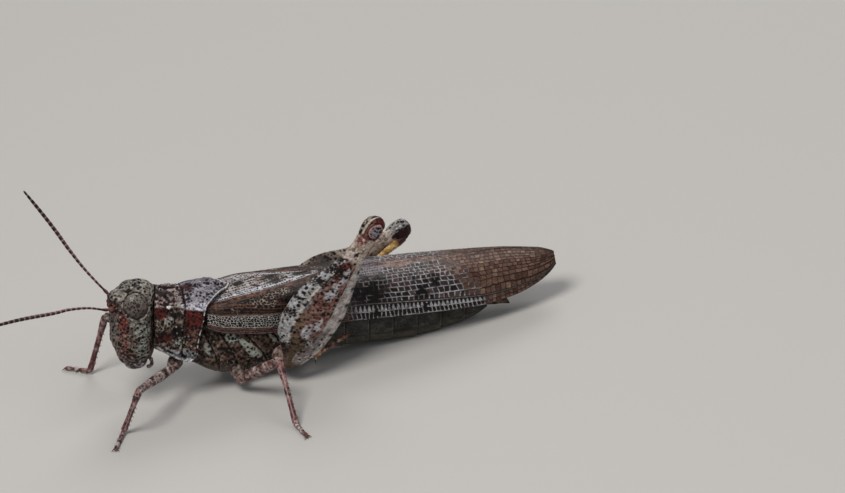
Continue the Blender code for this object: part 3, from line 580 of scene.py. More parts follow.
def head_colours(P):
    W = warped(P, 0.13, 0.5, 40)
    X, Y, Z = np.abs(P[..., 0]), W[..., 1], W[..., 2]
    y, z = P[..., 1], P[..., 2]
    face, side, top = step(1.0, 0.5, y - FACE_Y(z)), step(1.1, 1.45, X), step(9.0, 9.5, Z)
    coarse, medium, fine = fractal(P, 0.6, 41), fractal(P, 0.28, 43), fractal(P, 0.13, 42)
    paint = Paint(P.shape[:2], (130, 120, 111))
    paint.over((164, 157, 148), step(0.52, 0.62, medium) * 0.8)
    paint.over((70, 59, 52), step(0.46, 0.36, medium) * 0.65)
    paint.over((92, 70, 60), step(0.52, 0.68, coarse) * 0.6)
    paint.over((106, 94, 88), face * step(9.0, 8.6, Z) * 0.6)
    paint.over((146, 142, 133), top * step(0.35, 0.6, medium) * 0.8)
    # rust band from the socket down the front of the cheek
    rust = step(0.46, 0.24, segment_distance(Y, Z, [(1.0, 8.2), (1.0, 6.9), (0.98, 5.1)]))
    rust = rust * step(0.65, 0.9, X)
    paint.over((126, 94, 86), rust * 0.85)
    paint.over((132, 66, 58), rust * step(0.48, 0.58, medium) * step(0.25, 0.5, fine))
    paint.over((56, 36, 33), rust * step(0.43, 0.35, fine))
    paint.over((116, 44, 38), patch(Y, Z, (1.0, 7.75), (0.2, 0.34), 0.4) * side * 0.75)
    paint.over((58, 34, 31), step(0.5, 0.3, segment_distance(Y, Z, [(0.6, 8.75), (0.95, 8.3)])) * 0.75)
    # dashes down the cheek
    cheek = step(0.62, 0.4, segment_distance(Y, Z, [(2.3, 7.3), (2.5, 6.2), (2.6, 4.9)])) * side
    paint.over((148, 153, 143), cheek * step(0.35, 0.5, fine) * 0.9)
    rows = hill((Z * 2.9 + 0.3 * np.sin(y * 3)) % 1.0, 0.5, 0.2) * step(0.4, 0.46, noise(P, 0.3, 45))
    paint.over((14, 11, 10), rows * cheek)
    paint.over((98, 68, 58), step(2.75, 3.0, Y) * step(6.4, 5.6, Z) * 0.75)
    paint.over((92, 72, 62), side * step(1.3, 1.5, Y) * step(2.0, 1.8, Y) * step(7.4, 7.0, Z) * 0.6)
    # painted shade: a dark band down the back of the head, where it meets the front edge of the saddle
    paint.over((36, 27, 24), hill(y, 3.28, 0.05) * step(4.6, 5.2, Z) * step(8.3, 7.9, Z) * 0.8)
    paint.over((40, 28, 25), hill(segment_distance(Y, Z, [(1.4, 7.6), (1.3, 7.0)]), 0, 0.12) * side * 0.8)
    # clypeus and lower face
    low = step(5.15, 4.8, Z + 0.3 * (Y - 1.0)) * step(1.95, 1.5, Y)
    paint.over((110, 84, 76), low * 0.85)
    paint.over((112, 58, 50), low * step(0.5, 0.6, medium) * 0.8)
    paint.over((36, 24, 22), low * step(0.46, 0.36, fine))
    paint.over((162, 152, 146), low * step(0.64, 0.7, noise(P, 0.17, 48)) * 0.7)
    paint.over((22, 15, 13), hill(z + 0.25 * (y - 0.9), LABRUM_SEAM_Z, 0.06) * step(2.0, 1.6, y))
    # sockets, ocelli and eye rims
    socket = np.hypot(X - SOCKET[0], z - SOCKET[1])
    paint.over((70, 40, 37), face * step(0.64, 0.5, socket) * 0.9)
    paint.over((128, 92, 88), face * hill(socket, 0.42, 0.06) * step(0.3, 0.5, fine))
    # painted shade: the hollow of the socket, round the feeler's base, darkened
    paint.over((44, 24, 23), face * step(0.34, 0.26, socket))
    paint.over((150, 134, 112), face * step(0.15, 0.1, np.hypot(X, z - OCELLUS_Z)))
    paint.over((150, 138, 118), step(0.15, 0.1, side_ocellus(P, 9.12)))
    away = eye_distance(P)
    paint.over((124, 114, 104), hill(away, 1.16, 0.05) * 0.6 * step(0.3, 0.5, fine))
    paint.over((26, 20, 18), hill(away, 1.03, 0.045))
    # dots, and broken strokes along the front edge of the top
    vertex = hill(segment_distance(X, y, [(0.4, 0.5), (0.62, 1.2), (0.6, 2.4)]), 0, 0.17) * top
    paint.over((16, 13, 12), dots(P, 0.26, 0.15, 0.9, 50) * step(0.15, 0.4, vertex))
    paint.over((22, 18, 16), patch(P[..., 0], y, (-0.35, 2.05), (0.28, 0.14)) * top * 0.9)
    edge = hill(segment_distance(y, z, [(0.5, 9.25), (0.95, 9.62), (1.7, 9.98), (2.6, 10.1)]), 0, 0.09)
    stroke = step(0.46, 0.54, noise(np.stack([y * 4.2, z], -1), 1.0, 54))
    paint.over((186, 180, 168), edge * step(0.35, 0.55, X) * step(1.25, 1.0, X) * 0.8)
    paint.over((14, 11, 10), edge * stroke * step(0.35, 0.55, X) * step(1.25, 1.0, X))
    paint.over((16, 12, 11), dots(P, 0.25, 0.118, 0.9, 51))
    paint.over((182, 178, 170), dots(P, 0.24, 0.065, 0.35, 52) * 0.7)
    paint.dim(grain(P, 53, 0.68, 1.32))
    return paint.rgb


def make_head():
    P = head_grid()
    middle = P[0].mean(axis=0)
    # rings that close the head beneath
    lowest = np.linspace(0.05, 0.94, 8)[:, None, None] * (P[0] - middle) + middle
    full = np.concatenate([lowest, P])
    shape = Shape().add(raised(full, head_relief(full)), head_colours(full))
    shape.place("head_skin", HEAD_SHELL, "head_shell", "head")


def make_eyes():
    c, s = math.cos(EYE_LEAN), math.sin(EYE_LEAN)
    rows, columns = GRIDS["eye"]
    polar = np.linspace(0.02, math.pi - 0.02, rows)[:, None]
    angle = np.linspace(0, 2 * math.pi, columns, endpoint=False)
    across = EYE_RADII[0] * (np.cos(polar) * np.ones(len(angle)))
    along = EYE_RADII[1] * (np.sin(polar) * np.cos(angle))
    high = EYE_RADII[2] * (np.sin(polar) * np.sin(angle))
    for name, side in SIDES:
        P = np.stack([side * (EYE_CENTRE[0] + across * c - high * s), EYE_CENTRE[1] + along,
                      EYE_CENTRE[2] + across * s + high * c], axis=-1)
        first, second, _ = cells(P, 0.05, 60)
        paint = Paint(P.shape[:2], (104, 92, 84))
        paint.over((74, 62, 54), step(0.45, 0.62, fractal(P, 0.35, 61)))
        paint.over((134, 126, 118), step(0.1, -0.25, side * P[..., 0] / EYE_CENTRE[0] - 1.28) * 0.6)
        paint.over((66, 54, 46), step(8.75, 8.1, P[..., 2]) * 0.7)
        paint.over((20, 14, 12), dots(P, 0.19, 0.09, 0.8, 62))
        paint.over((150, 142, 132), dots(P, 0.15, 0.035, 0.5, 63) * 0.7)
        paint.over((36, 26, 22), patch(P[..., 1], P[..., 2], (2.15, 8.95), (0.13, 0.2), 0.4) * 0.9)
        paint.dim(grain(P, 64, 0.75, 1.25, 0.1))
        P = raised(P, -0.008 * step(0.2, 0.0, second - first))
        Shape().add(P, paint.rgb).place("eye_lens_" + name, EYE_LENS, "eye_lens", "eye_" + name)


ANTENNA_PATHS = {
    "left": ((0.72, 0.60, 8.35), (0.85, -0.20, 8.37), (1.20, -1.65, 8.88), (1.60, -3.27, 9.13),
             (1.95, -4.50, 9.15), (2.70, -7.30, 9.31), (3.20, -9.35, 9.27), (3.40, -10.13, 9.24)),
    "right": ((-0.72, 0.60, 8.39), (-0.95, 0.26, 8.95), (-1.30, -0.45, 9.78), (-1.85, -1.43, 11.0),
              (-2.40, -2.41, 12.45), (-3.00, -3.30, 13.9), (-3.60, -4.26, 15.34), (-4.40, -5.50, 17.07)),
}
ANTENNA_RADIUS = table([0.0, 0.03, 0.06, 0.075, 0.11, 0.3, 0.6, 0.85, 1.0],
                       [0.27, 0.27, 0.15, 0.16, 0.11, 0.13, 0.18, 0.16, 0.09])
ANTENNA_JOINTS = 24
ANTENNA_BASE = 0.11             # share of the length that the two thick first joints take


def make_antennae():
    rows, columns = GRIDS["feeler"]
    t = np.linspace(0, 1, rows)
    for name, _ in SIDES:
        path = smooth_path(ANTENNA_PATHS[name], rows)
        slender = 2 + (t - ANTENNA_BASE) / (1 - ANTENNA_BASE) * (ANTENNA_JOINTS - 2)
        share = np.where(t < ANTENNA_BASE, t / (ANTENNA_BASE / 2), slender) % 1.0
        radius = ANTENNA_RADIUS(t) * (0.82 + 0.18 * np.sin(math.pi * share) ** 0.5)
        radius[-6:] *= np.linspace(1, 0.35, 6)
        P, angle = tube(path, radius, columns, flat=0.82)
        T = t[:, None] * np.ones(columns)
        seam = (hill(share, 0.0, 0.13) + hill(share, 1.0, 0.13))[:, None] * np.ones(columns)
        paint = Paint(P.shape[:2], (44, 22, 21))
        paint.over((30, 16, 15), step(0.45, 0.9, T) * 0.7)
        paint.over((22, 11, 11), step(0.5, 0.75, noise(P, 0.5, 70)))
        paint.over((196, 164, 158), seam * step(0.1, 0.2, T) * (0.85 - 0.55 * T))
        # painted highlight: a paler streak along the top of each feeler, strongest towards its base
        paint.over((150, 110, 107), hill(np.cos(angle), 1.0, 0.3)[None, :] * step(0.85, 0.4, T) * 0.45)
        paint.over((112, 70, 62), step(0.1, 0.05, T) * 0.8)
        P = raised(P, 0.006 * (noise(P, 0.06, 71) - 0.5))
        Shape().add(P, paint.rgb).place("feeler_" + name, FEELER, "antenna_shell", "antenna_" + name)


make_head()
make_eyes()
make_antennae()


# --- mouth ---------------------------------------------------------------------------

def limb_axes(start, end, side):
    """Start, length, and the unit axes along, across and up of a leg segment."""
    a, b = np.asarray(start, float), np.asarray(end, float)
    along = unit(b - a)
    across = unit(np.asarray([side, 0.0, 0.0]) - along * along[0] * side)
    up = np.cross(across, along)
    if up[2] - 0.5 * up[1] < 0:
        up = -up
    return a, float(np.linalg.norm(b - a)), along, across, up


def limb(start, end, side, above, below, half, rows, columns, first=0.0, last=1.0, shift=None,
         round_ends=(0.3, 0.3)):
    """A closed limb. Returns its points, the share along it and its height and side, -1 to 1."""
    a, length, along, across, up = limb_axes(start, end, side)
    bend = np.linspace(0, 1, rows)
    bend = 0.65 * bend + 0.35 * (0.5 - 0.5 * np.cos(math.pi * bend))
    t = first + (last - first) * bend
    angle = np.linspace(0, 2 * math.pi, columns, endpoint=False)
    c, s = np.cos(angle), np.sin(angle)
    near, far = ((1 - np.clip(way * length / end, 0, 1)) ** 2
                 for way, end in zip((t - first, last - t), round_ends))
    round_off = np.sqrt(np.clip(1 - near, 0.004, 1)) * np.sqrt(np.clip(1 - far, 0.004, 1))
    high = np.where(c > 0, (above(t) * round_off)[:, None], (below(t) * round_off)[:, None]) * c
    wide = (half(t) * round_off)[:, None] * s + (0.0 if shift is None else shift(t)[:, None])
    P = a + along * (t * length)[:, None, None] + up * high[..., None] + across * wide[..., None]
    ones = np.ones_like(high)
    return P, t[:, None] * ones, c[None, :] * ones, s[None, :] * ones


def mottled(P, base, dark, pale, seed, size=0.3):
    """Paint of three shades in irregular patches."""
    paint = Paint(P.shape[:2], base)
    cloud = fractal(P, size, seed)
    paint.over(dark, step(0.47, 0.37, cloud))
    paint.over(pale, step(0.55, 0.65, cloud))
    paint.dim(grain(P, seed + 9, 0.7, 1.3))
    return paint


JAW_SHARE = [0.0, 0.35, 0.65, 0.88, 1.0]
JAW_HIGH = table(JAW_SHARE, [0.93, 0.98, 0.88, 0.64, 0.42])
JAW_WIDE = table(JAW_SHARE, [0.4, 0.43, 0.4, 0.31, 0.2])
PALP_PATHS = (((1.0, 3.15, 3.85), (1.12, 3.24, 3.45), (1.1, 3.12, 3.16), (1.0, 2.82, 3.04)),
              ((0.5, 2.7, 3.75), (0.56, 2.8, 3.3), (0.52, 2.62, 3.05), (0.48, 2.3, 2.98)))
LIP_TOP, LIP_BOTTOM = 3.99, 3.09
LIP_SEAM_Z = 3.72


def make_jaw(name, side):
    P, t, q, _ = limb((side * 1.15, 1.97, 4.4), (side * 0.98, 1.92, 2.98), side, JAW_HIGH, JAW_HIGH,
                      JAW_WIDE, *GRIDS["jaw"], round_ends=(0.1, 0.3))
    paint = mottled(P, (90, 80, 80), (42, 32, 32), (146, 140, 140), 80, 0.22)
    # painted highlights: white dots that stand for glints on the glossy jaw; the black dots after them are
    # its own specks
    paint.over((186, 182, 182), dots(P, 0.22, 0.07, 0.6, 81))
    paint.over((24, 17, 16), dots(P, 0.22, 0.07, 0.6, 83))
    paint.over((28, 19, 17), step(0.78, 0.95, t))
    paint.over((34, 22, 20), hill(q, 0.3, 0.07) * step(0.1, 0.4, t) * 0.8)
    relief = 0.05 * (fractal(P, 0.3, 82) - 0.5) - 0.05 * hill(q, 0.3, 0.08) * step(0.1, 0.4, t)
    shape = Shape().add(raised(P, relief), paint.rgb)
    shape.place("jaw_" + name, MOUTH, "mouth_shell", "mandible_" + name)


def make_palps(name, side):
    """The two jointed palps of one side, the longer and thicker one first."""
    shape = Shape()
    rows, columns = GRIDS["palp"]
    for k, points in enumerate(PALP_PATHS):
        path = smooth_path([(side * x, y, z) for x, y, z in points], rows)
        share = (np.linspace(0, 1, rows) * 3.0) % 1.0
        radius = (0.16 - 0.03 * k) * (0.7 + 0.3 * np.sin(math.pi * share) ** 0.6)
        radius[-5:] *= np.linspace(1, 0.3, 5)
        P, _ = tube(path, radius, columns, up=(side, 0, 0))
        shape.add(P, mottled(P, (104, 86, 82), (56, 40, 38), (146, 132, 128), 84 + k, 0.2).rgb)
    shape.place("palps_" + name, MOUTH, "mouth_shell", "palp_" + name)


def make_lip():
    rows, columns = GRIDS["lip"]
    z = np.linspace(LIP_TOP, LIP_BOTTOM, rows)
    front = table([LIP_BOTTOM, 3.22, 3.45, 3.72, LIP_TOP], [1.16, 1.04, 0.86, 0.70, 0.62])(z)
    back = table([LIP_BOTTOM, 3.45, LIP_TOP], [1.4, 1.3, 1.04])(z)
    half = table([LIP_BOTTOM, 3.13, 3.22, 3.45, 3.72, LIP_TOP], [0.18, 0.32, 0.45, 0.57, 0.63, 0.63])(z)
    P = oval_rings(z, front, 0.5 * (front + back), back, half, columns, 3.0, upright=True)
    P[..., 2] += 0.07 * (P[..., 0] / half[:, None]) ** 2 * step(3.5, 3.1, z)[:, None]
    P = even_ring(P)
    seam = hill(P[..., 2], LIP_SEAM_Z, 0.05)
    paint = mottled(P, (86, 64, 57), (44, 28, 25), (134, 118, 110), 88, 0.2).over((40, 26, 23), seam)
    relief = -0.05 * seam + 0.04 * (fractal(P, 0.25, 89) - 0.5)
    Shape().add(raised(P, relief), paint.rgb).place("lip", MOUTH, "mouth_shell", "labrum")


def make_mouth():
    for name, side in SIDES:
        make_jaw(name, side)
        make_palps(name, side)
    make_lip()


# --- pronotum ------------------------------------------------------------------------

DISC_APEX_Y = 9.88
CARINA = 0.45
FLATNESS = 2.8
CREST_Z = table([3.4, 3.95, 5.0, 5.8, 6.4, 7.0, 8.0, DISC_APEX_Y],
                [9.42, 9.38, 9.2, 9.1, 9.14, 9.22, 9.2, 8.85])
CARINA_X = table([3.4, 4.5, 5.5, 6.5, 7.5, 10.0], [1.72, 1.85, 2.0, 2.35, 2.7, 2.75])
CARINA_Z = table([3.4, 4.5, 5.5, 6.5, 7.5, 10.0], [8.45, 8.4, 8.33, 8.28, 8.22, 8.2])
LOBE_X = table([3.4, 5.0, 7.5], [2.2, 2.4, 2.7])
LOBE_Z = table([3.4, 4.24, 4.9, 5.75, 6.3, 7.5], [5.2, 4.57, 4.13, 3.76, 3.78, 4.6])
MARGIN_FRONT = table([0.0, 0.2, 0.45, 0.7, 1.0], [3.95, 3.8, 3.52, 3.42, 3.5])
MARGIN_REAR = table([0.0, 0.08, 0.2, 0.32, 0.45, 0.6, 0.75, 0.87, 0.94, 0.975, 1.0],
                    [DISC_APEX_Y, 9.62, 8.95, 8.25, 7.49, 7.3, 6.95, 6.77, 6.74, 6.45, 6.0])
SULCUS_Y = table([0.0, 0.45, 0.7, 1.0], [6.06, 5.95, 5.6, 5.45])
SADDLE_AXIS = (0, 6.5, 5.5)             # a point inside it, which its outer side faces away from
ROLL = np.linspace(0.0, 1.0, 7)[1:]     # steps of its rolled edges


def saddle_grid(s, v, inset):
    """Points of the saddle: s from one lobe's edge (-1) over the crest (0) to the other, v to the rear."""
    S, V = np.meshgrid(s, v)
    a = np.abs(S)
    y = MARGIN_FRONT(a) + (MARGIN_REAR(a) - MARGIN_FRONT(a)) * V
    cx, cz, crest = CARINA_X(y) - inset, CARINA_Z(y) - inset, CREST_Z(y) - inset
    f = np.clip(a / CARINA, 0, 1)
    g = np.clip((a - CARINA) / (1 - CARINA), 0, 1)
    bulge = ((LOBE_X(y) - inset) - cx) * np.sin(math.pi * 0.5 * np.minimum(1, g * 1.7))
    x = np.where(a <= CARINA, cx * f, cx + bulge - 0.25 * np.maximum(0, g - 0.6))
    z = np.where(a <= CARINA, cz + (crest - cz) * (1 - f ** FLATNESS), cz + (LOBE_Z(y) - cz) * g)
    return np.stack([np.sign(S) * x, y, z], axis=-1), S, V


def saddle_relief(P, S, V):
    a = np.abs(S)
    Y, Z = P[..., 1], P[..., 2]
    disc = step(CARINA + 0.04, CARINA - 0.04, a)
    groove = Y - SULCUS_Y(a)
    h = 0.07 * (fractal(P, 0.6, 100) - 0.5) + 0.05 * (fractal(P, 0.2, 101) - 0.5)
    metazone = step(0.0, 0.25, groove)
    off = np.abs(groove)
    h += 0.16 * hill(a, 0, 0.022) * (0.55 + 0.45 * off.clip(0, 1)) * step(0.03, 0.2, off)
    h += 0.10 * hill(a, CARINA, 0.02) * (0.45 + 0.55 * metazone)
    h -= 0.13 * hill(groove, 0, 0.06)
    wavy = 0.1 * np.sin(a * 14)
    h -= 0.08 * hill(groove + 0.62 + wavy, 0, 0.06) * step(0.06, 0.16, a) * step(0.98, 0.8, a)
    h -= 0.07 * hill(groove + 1.35 - wavy, 0, 0.06) * step(0.12, 0.22, a) * step(0.85, 0.7, a)
    knobs = fractal(P, 0.34, 102)
    h += 0.10 * step(0.52, 0.68, knobs) * disc * (1 - metazone)
    h -= 0.03 * step(0.45, 0.1, cells(P, 0.17, 103)[0]) * (0.4 + 0.6 * metazone)
    h += 0.07 * (hill(V, 0.985, 0.018) + hill(V, 0.012, 0.014)) + 0.05 * hill(a, 0.975, 0.018)
    h += 0.06 * patch(Y, Z, (4.3, 7.2), (0.55, 0.5), 0.6) * (1 - disc)
    h += 0.06 * patch(Y, Z, (5.5, 5.3), (0.7, 0.8), 0.6) * (1 - disc)
    h -= 0.05 * patch(Y, Z, (5.2, 6.6), (0.35, 0.6), 0.6) * (1 - disc)
    return h


def saddle_colours(P, S, V):
    W = warped(P, 0.16, 0.5, 110)
    a = np.abs(S)
    Y, Z = W[..., 1], W[..., 2]
    medium, fine, bumps = fractal(P, 0.27, 112), fractal(P, 0.13, 111), fractal(P, 0.34, 102)
    disc = step(CARINA + 0.012, CARINA - 0.012, a)
    lobe = 1 - disc
    groove = P[..., 1] - SULCUS_Y(a)
    metazone = step(-0.05, 0.1, groove)
    front, back = disc * (1 - metazone), disc * metazone
    paint = Paint(P.shape[:2], (118, 102, 96))
    # back of the front half: tan and pink bumps among black and dark red
    paint.over((70, 34, 33), front * step(0.56, 0.5, bumps))
    paint.over((20, 14, 13), front * step(0.5, 0.44, bumps))
    paint.over((164, 148, 145), front * step(0.56, 0.62, bumps) * step(0.3, 0.5, fine))
    paint.over((24, 16, 15), front * dots(P, 0.25, 0.11, 0.8, 119))
    paint.over((150, 146, 142), front * step(0.62, 0.7, medium) * 0.6)
    # back of the rear half: lavender grey, dotted, paler towards its edges
    paint.over((134, 129, 138), back)
    paint.over((156, 152, 162), back * step(0.5, 0.64, medium) * 0.8)
    paint.over((100, 90, 98), back * step(0.47, 0.36, medium) * 0.8)
    edge = step(0.31, 0.43, a + 0.08 * (medium - 0.5))
    paint.over((190, 188, 199), back * edge * step(0.4, 0.5, fine) * 0.9)
    sulcus = step(0.7, 0.3, np.abs(groove - 0.05))
    paint.over((186, 181, 186), disc * edge * sulcus * step(0.4, 0.5, medium))
    blotch = patch(P[..., 0] * 0.8, Y, (0.1, 6.45), (0.66, 0.5), 0.3)
    paint.over((78, 28, 30), blotch * disc * step(0.3, 0.42, fine))
    paint.over((28, 14, 15), blotch * disc * step(0.5, 0.42, medium))
    paint.over((26, 14, 14), hill(groove, 0, 0.09) * disc)
    # sides
    paint.over((102, 86, 76), lobe)
    paint.over((34, 23, 20), lobe * step(0.5, 0.42, medium) * 0.85)
    paint.over((146, 137, 126), lobe * step(0.58, 0.66, medium) * 0.7)
    red = lobe * metazone * step(5.7, 7.0, Z) * step(7.7, 7.3, Y)
    paint.over((100, 38, 32), red)
    paint.over((62, 26, 23), red * step(0.52, 0.42, medium) * 0.9)
    paint.over((112, 82, 68), lobe * metazone * step(6.7, 6.0, Z) * step(0.42, 0.6, medium))
    for place, size, tone in (((4.0, 8.05), (0.72, 0.5), (92, 28, 27)),
                              ((4.15, 5.95), (0.66, 0.5), (74, 32, 28))):
        spot = lobe * patch(Y, Z, place, size, 0.25)
        red = np.maximum(red, spot)
        paint.over(tone, spot)
        paint.over((36, 18, 17), spot * step(0.48, 0.4, medium))
    for place, size, tone, lean in (((4.5, 7.4), (0.42, 0.34), (142, 139, 128), 0.0),
                                    ((5.35, 5.6), (0.4, 0.62), (146, 144, 132), 0.3),
                                    ((5.7, 4.4), (0.95, 0.5), (134, 135, 142), -0.2),
                                    ((4.4, 4.9), (0.6, 0.3), (116, 104, 100), -0.5)):
        spot = lobe * patch(Y, Z, place, size, 0.25, lean)
        paint.over(tone, spot * step(0.3, 0.42, fine))
        paint.over((172, 172, 170), spot * step(0.56, 0.64, medium) * 0.7)
        paint.over((30, 24, 22), spot * step(0.4, 0.34, medium))
    paint.over((18, 12, 11), lobe * patch(Y, Z, (5.2, 6.45), (0.5, 0.56), 0.3))
    paint.over((18, 12, 11), lobe * patch(Y, Z, (5.1, 7.85), (0.5, 0.26), 0.4) * 0.9)
    paint.over((28, 16, 15), lobe * patch(Y, Z, (5.9, 6.4), (0.2, 0.9), 0.4) * 0.8)
    paint.over((232, 228, 226), patch(P[..., 1], P[..., 2], (4.66, 8.42), (0.17, 0.11), 0.3))
    paint.over((16, 11, 10), lobe * hill(groove, 0, 0.055) * 0.9)
    # specks
    paint.over((18, 12, 14), dots(P, 0.24, 0.118, 0.92, 113) * back * (1 - 0.4 * edge))
    paint.over((16, 10, 9), lobe * dots(P, 0.26, 0.125, 0.9, 114))
    paint.over((182, 172, 164), lobe * dots(P, 0.22, 0.07, 0.5, 115) * 0.6 * (1 - red))
    paint.over((204, 202, 212), hill(a, CARINA, 0.011) * metazone * step(0.3, 0.45, fine))
    # margins
    dash = step(0.42, 0.54, noise(P, 0.28, 116))
    paint.over((216, 210, 212), hill(V, 0.988, 0.014) * (dash * lobe + 0.85 * disc))
    paint.over((52, 28, 25), hill(V, 0.988, 0.014) * (1 - dash) * lobe)
    paint.over((22, 14, 13), hill(V, 0.952, 0.014) * (lobe + 0.5 * disc) * 0.9)
    paint.over((214, 212, 218), hill(a, 0.985, 0.014) * (0.25 + 0.75 * dash))
    paint.over((18, 12, 11), hill(a, 0.95, 0.012) * 0.8)
    paint.over((28, 19, 18), hill(V, 0.0, 0.01))
    paint.dim(grain(P, 118, 0.7, 1.3))
    return paint.rgb


def rolled(edge, near, inner):
    """An edge that rolls over towards the points inside it, in steps."""
    return [edge * (1 - k) + inner * k + unit(edge - near) * 0.05 * math.sin(math.pi * k) for k in ROLL]


def make_saddle():
    rows, columns = GRIDS["saddle"]
    s, v = np.linspace(-1, 1, columns), np.linspace(0, 1, rows)
    P, S, V = saddle_grid(s, v, 0.0)
    rgb = np.pad(saddle_colours(P, S, V), ((len(ROLL),) * 2, (len(ROLL),) * 2, (0, 0)), "edge")
    outer = raised(P, saddle_relief(P, S, V), wrap=False, axis_point=SADDLE_AXIS)
    inner, _, _ = saddle_grid(s, v, 0.22)
    P = np.concatenate([rolled(outer[0], outer[3], inner[4])[::-1], outer,
                        rolled(outer[-1], outer[-4], inner[-5])])
    left, right = [rolled(edge, near, edge - np.sign(edge[:, :1]) * (0.2, 0.0, 0.0))
                   for edge, near in ((P[:, 0], P[:, 1]), (P[:, -1], P[:, -2]))]
    P = np.concatenate([np.stack(left[::-1], axis=1), P, np.stack(right, axis=1)], axis=1)
    shape = Shape().add(P, rgb, wrap=False, axis_point=SADDLE_AXIS)
    shape.place("saddle", SADDLE, "pronotum_shell", "pronotum")


# --- thorax and abdomen --------------------------------------------------------------

THORAX_START, THORAX_END = 3.5, 14.68
THORAX_HALF = table([3.5, 4.2, 5.0, 6.4, 7.6, 9.0, 11.0, 13.0, 14.7],
                    [0.85, 1.1, 1.45, 1.75, 2.1, 2.5, 2.62, 2.5, 2.2])
THORAX_TOP = table([3.5, 4.2, 5.0, 7.6, 9.0, 11.0, 14.7], [7.6, 7.9, 7.95, 7.55, 7.6, 7.6, 7.5])
THORAX_LOW = table([3.5, 4.2, 5.0, 6.4, 7.6, 9.0, 11.0, 13.0, 14.7],
                   [5.3, 4.5, 3.7, 2.9, 2.2, 1.75, 1.75, 2.0, 2.45])
SUTURES = (((7.25, 6.3), (8.2, 3.8), (8.5, 2.6)), ((8.4, 6.3), (9.5, 4.2), (10.1, 2.5)),
           ((10.2, 6.2), (11.9, 3.9), (12.4, 2.8)), ((12.2, 6.2), (13.5, 4.6)))


def body_rings(y, top, low, mid_share, half, columns, power):
    return even_ring(oval_rings(y, low, low + mid_share * (top - low), top, half, columns, power))


def make_thorax():
    rows, columns = GRIDS["thorax"]
    y = np.linspace(THORAX_START, THORAX_END, rows)
    P = body_rings(y, THORAX_TOP(y), THORAX_LOW(y), 0.42, THORAX_HALF(y), columns, 2.6)
    Y, Z = P[..., 1], P[..., 2]
    side = step(1.0, 1.7, np.abs(P[..., 0]))
    h = 0.10 * (fractal(P, 0.8, 130) - 0.5) + 0.05 * (fractal(P, 0.22, 131) - 0.5)
    seam = np.min([segment_distance(Y, Z, line) for line in SUTURES], axis=0)
    h += side * (-0.16 * hill(seam, 0, 0.06) + 0.07 * hill(seam, 0.17, 0.08))
    h -= 0.05 * step(0.4, 0.1, cells(P, 0.2, 132)[0]) * 0.6
    keel = hill(P[..., 0], 0, 0.1) * step(3.5, 3.0, Z)
    h -= 0.08 * keel
    under = step(3.2, 2.6, Z)
    plates = np.abs(((Y - 6.3) / 2.2) % 1.0 - 0.5)
    h -= 0.10 * under * hill(plates, 0.5, 0.03)
    W = warped(P, 0.2, 0.5, 133)
    Yw, Zw = W[..., 1], W[..., 2]
    fine = fractal(P, 0.15, 134)
    paint = mottled(P, (78, 60, 51), (34, 24, 21), (120, 102, 90), 135, 0.3)
    paint.over((84, 76, 64), side * step(0.5, 0.7, fractal(P, 0.7, 136)) * 0.5)
    for centre, size, lean in (((7.62, 4.45), (0.24, 0.6), 0.4), ((9.5, 5.45), (0.4, 0.62), 0.6),
                               ((11.0, 4.35), (0.38, 1.1), 0.78), ((12.9, 5.2), (0.35, 0.7), 0.5)):
        spot = patch(Yw, Zw, centre, size, 0.25, lean) * side
        paint.over((160, 164, 153), spot)
        paint.over((186, 189, 180), spot * step(0.5, 0.6, fine) * 0.8)
    paint.over((16, 11, 10), side * hill(seam, 0, 0.065))
    paint.over((126, 112, 102), side * hill(seam, 0.15, 0.05) * step(0.4, 0.55, fine) * 0.7)
    paint.over((13, 9, 8), dots(P, 0.26, 0.13, 0.9, 137))
    paint.over((112, 72, 58), dots(P, 0.3, 0.09, 0.6, 139) * 0.6)
    paint.over((158, 147, 136), dots(P, 0.24, 0.06, 0.5, 138) * 0.7)
    paint.over((104, 92, 84), under * 0.6)
    Shape().add(raised(P, h), paint.rgb).place("thorax_skin", THORAX, "thorax_shell", "thorax")


ABDOMEN_START, ABDOMEN_END = 14.75, 30.6
ABDOMEN_HALF = table([14.7, 17.0, 20.0, 23.0, 26.0, 28.0, 29.4, ABDOMEN_END],
                     [2.12, 2.2, 2.18, 2.08, 1.9, 1.66, 1.4, 0.85])
ABDOMEN_TOP = table([14.7, 17.0, 20.0, 23.0, 26.0, 28.0, 29.4, ABDOMEN_END],
                    [7.55, 7.6, 7.55, 7.4, 7.15, 6.85, 6.5, 5.85])
ABDOMEN_LOW = table([14.7, 17.0, 19.5, 22.0, 24.0, 26.5, 28.0, 29.4, ABDOMEN_END],
                    [2.5, 2.62, 2.72, 2.78, 2.76, 3.12, 3.46, 3.85, 4.55])
SEGMENTS = 8
SEGMENT_LENGTH = 1.98
# One valve of the egg layer: aside, along, and above or below the middle.
VALVE_PATH = ((0.24, ABDOMEN_END + 0.02, 0.36), (0.26, 31.3, 0.36), (0.22, 32.0, 0.42),
              (0.17, 32.52, 0.74))
CERCUS_PATH = ((0.98, 30.72, 5.75), (1.06, 31.4, 5.8), (1.0, 32.0, 5.82))


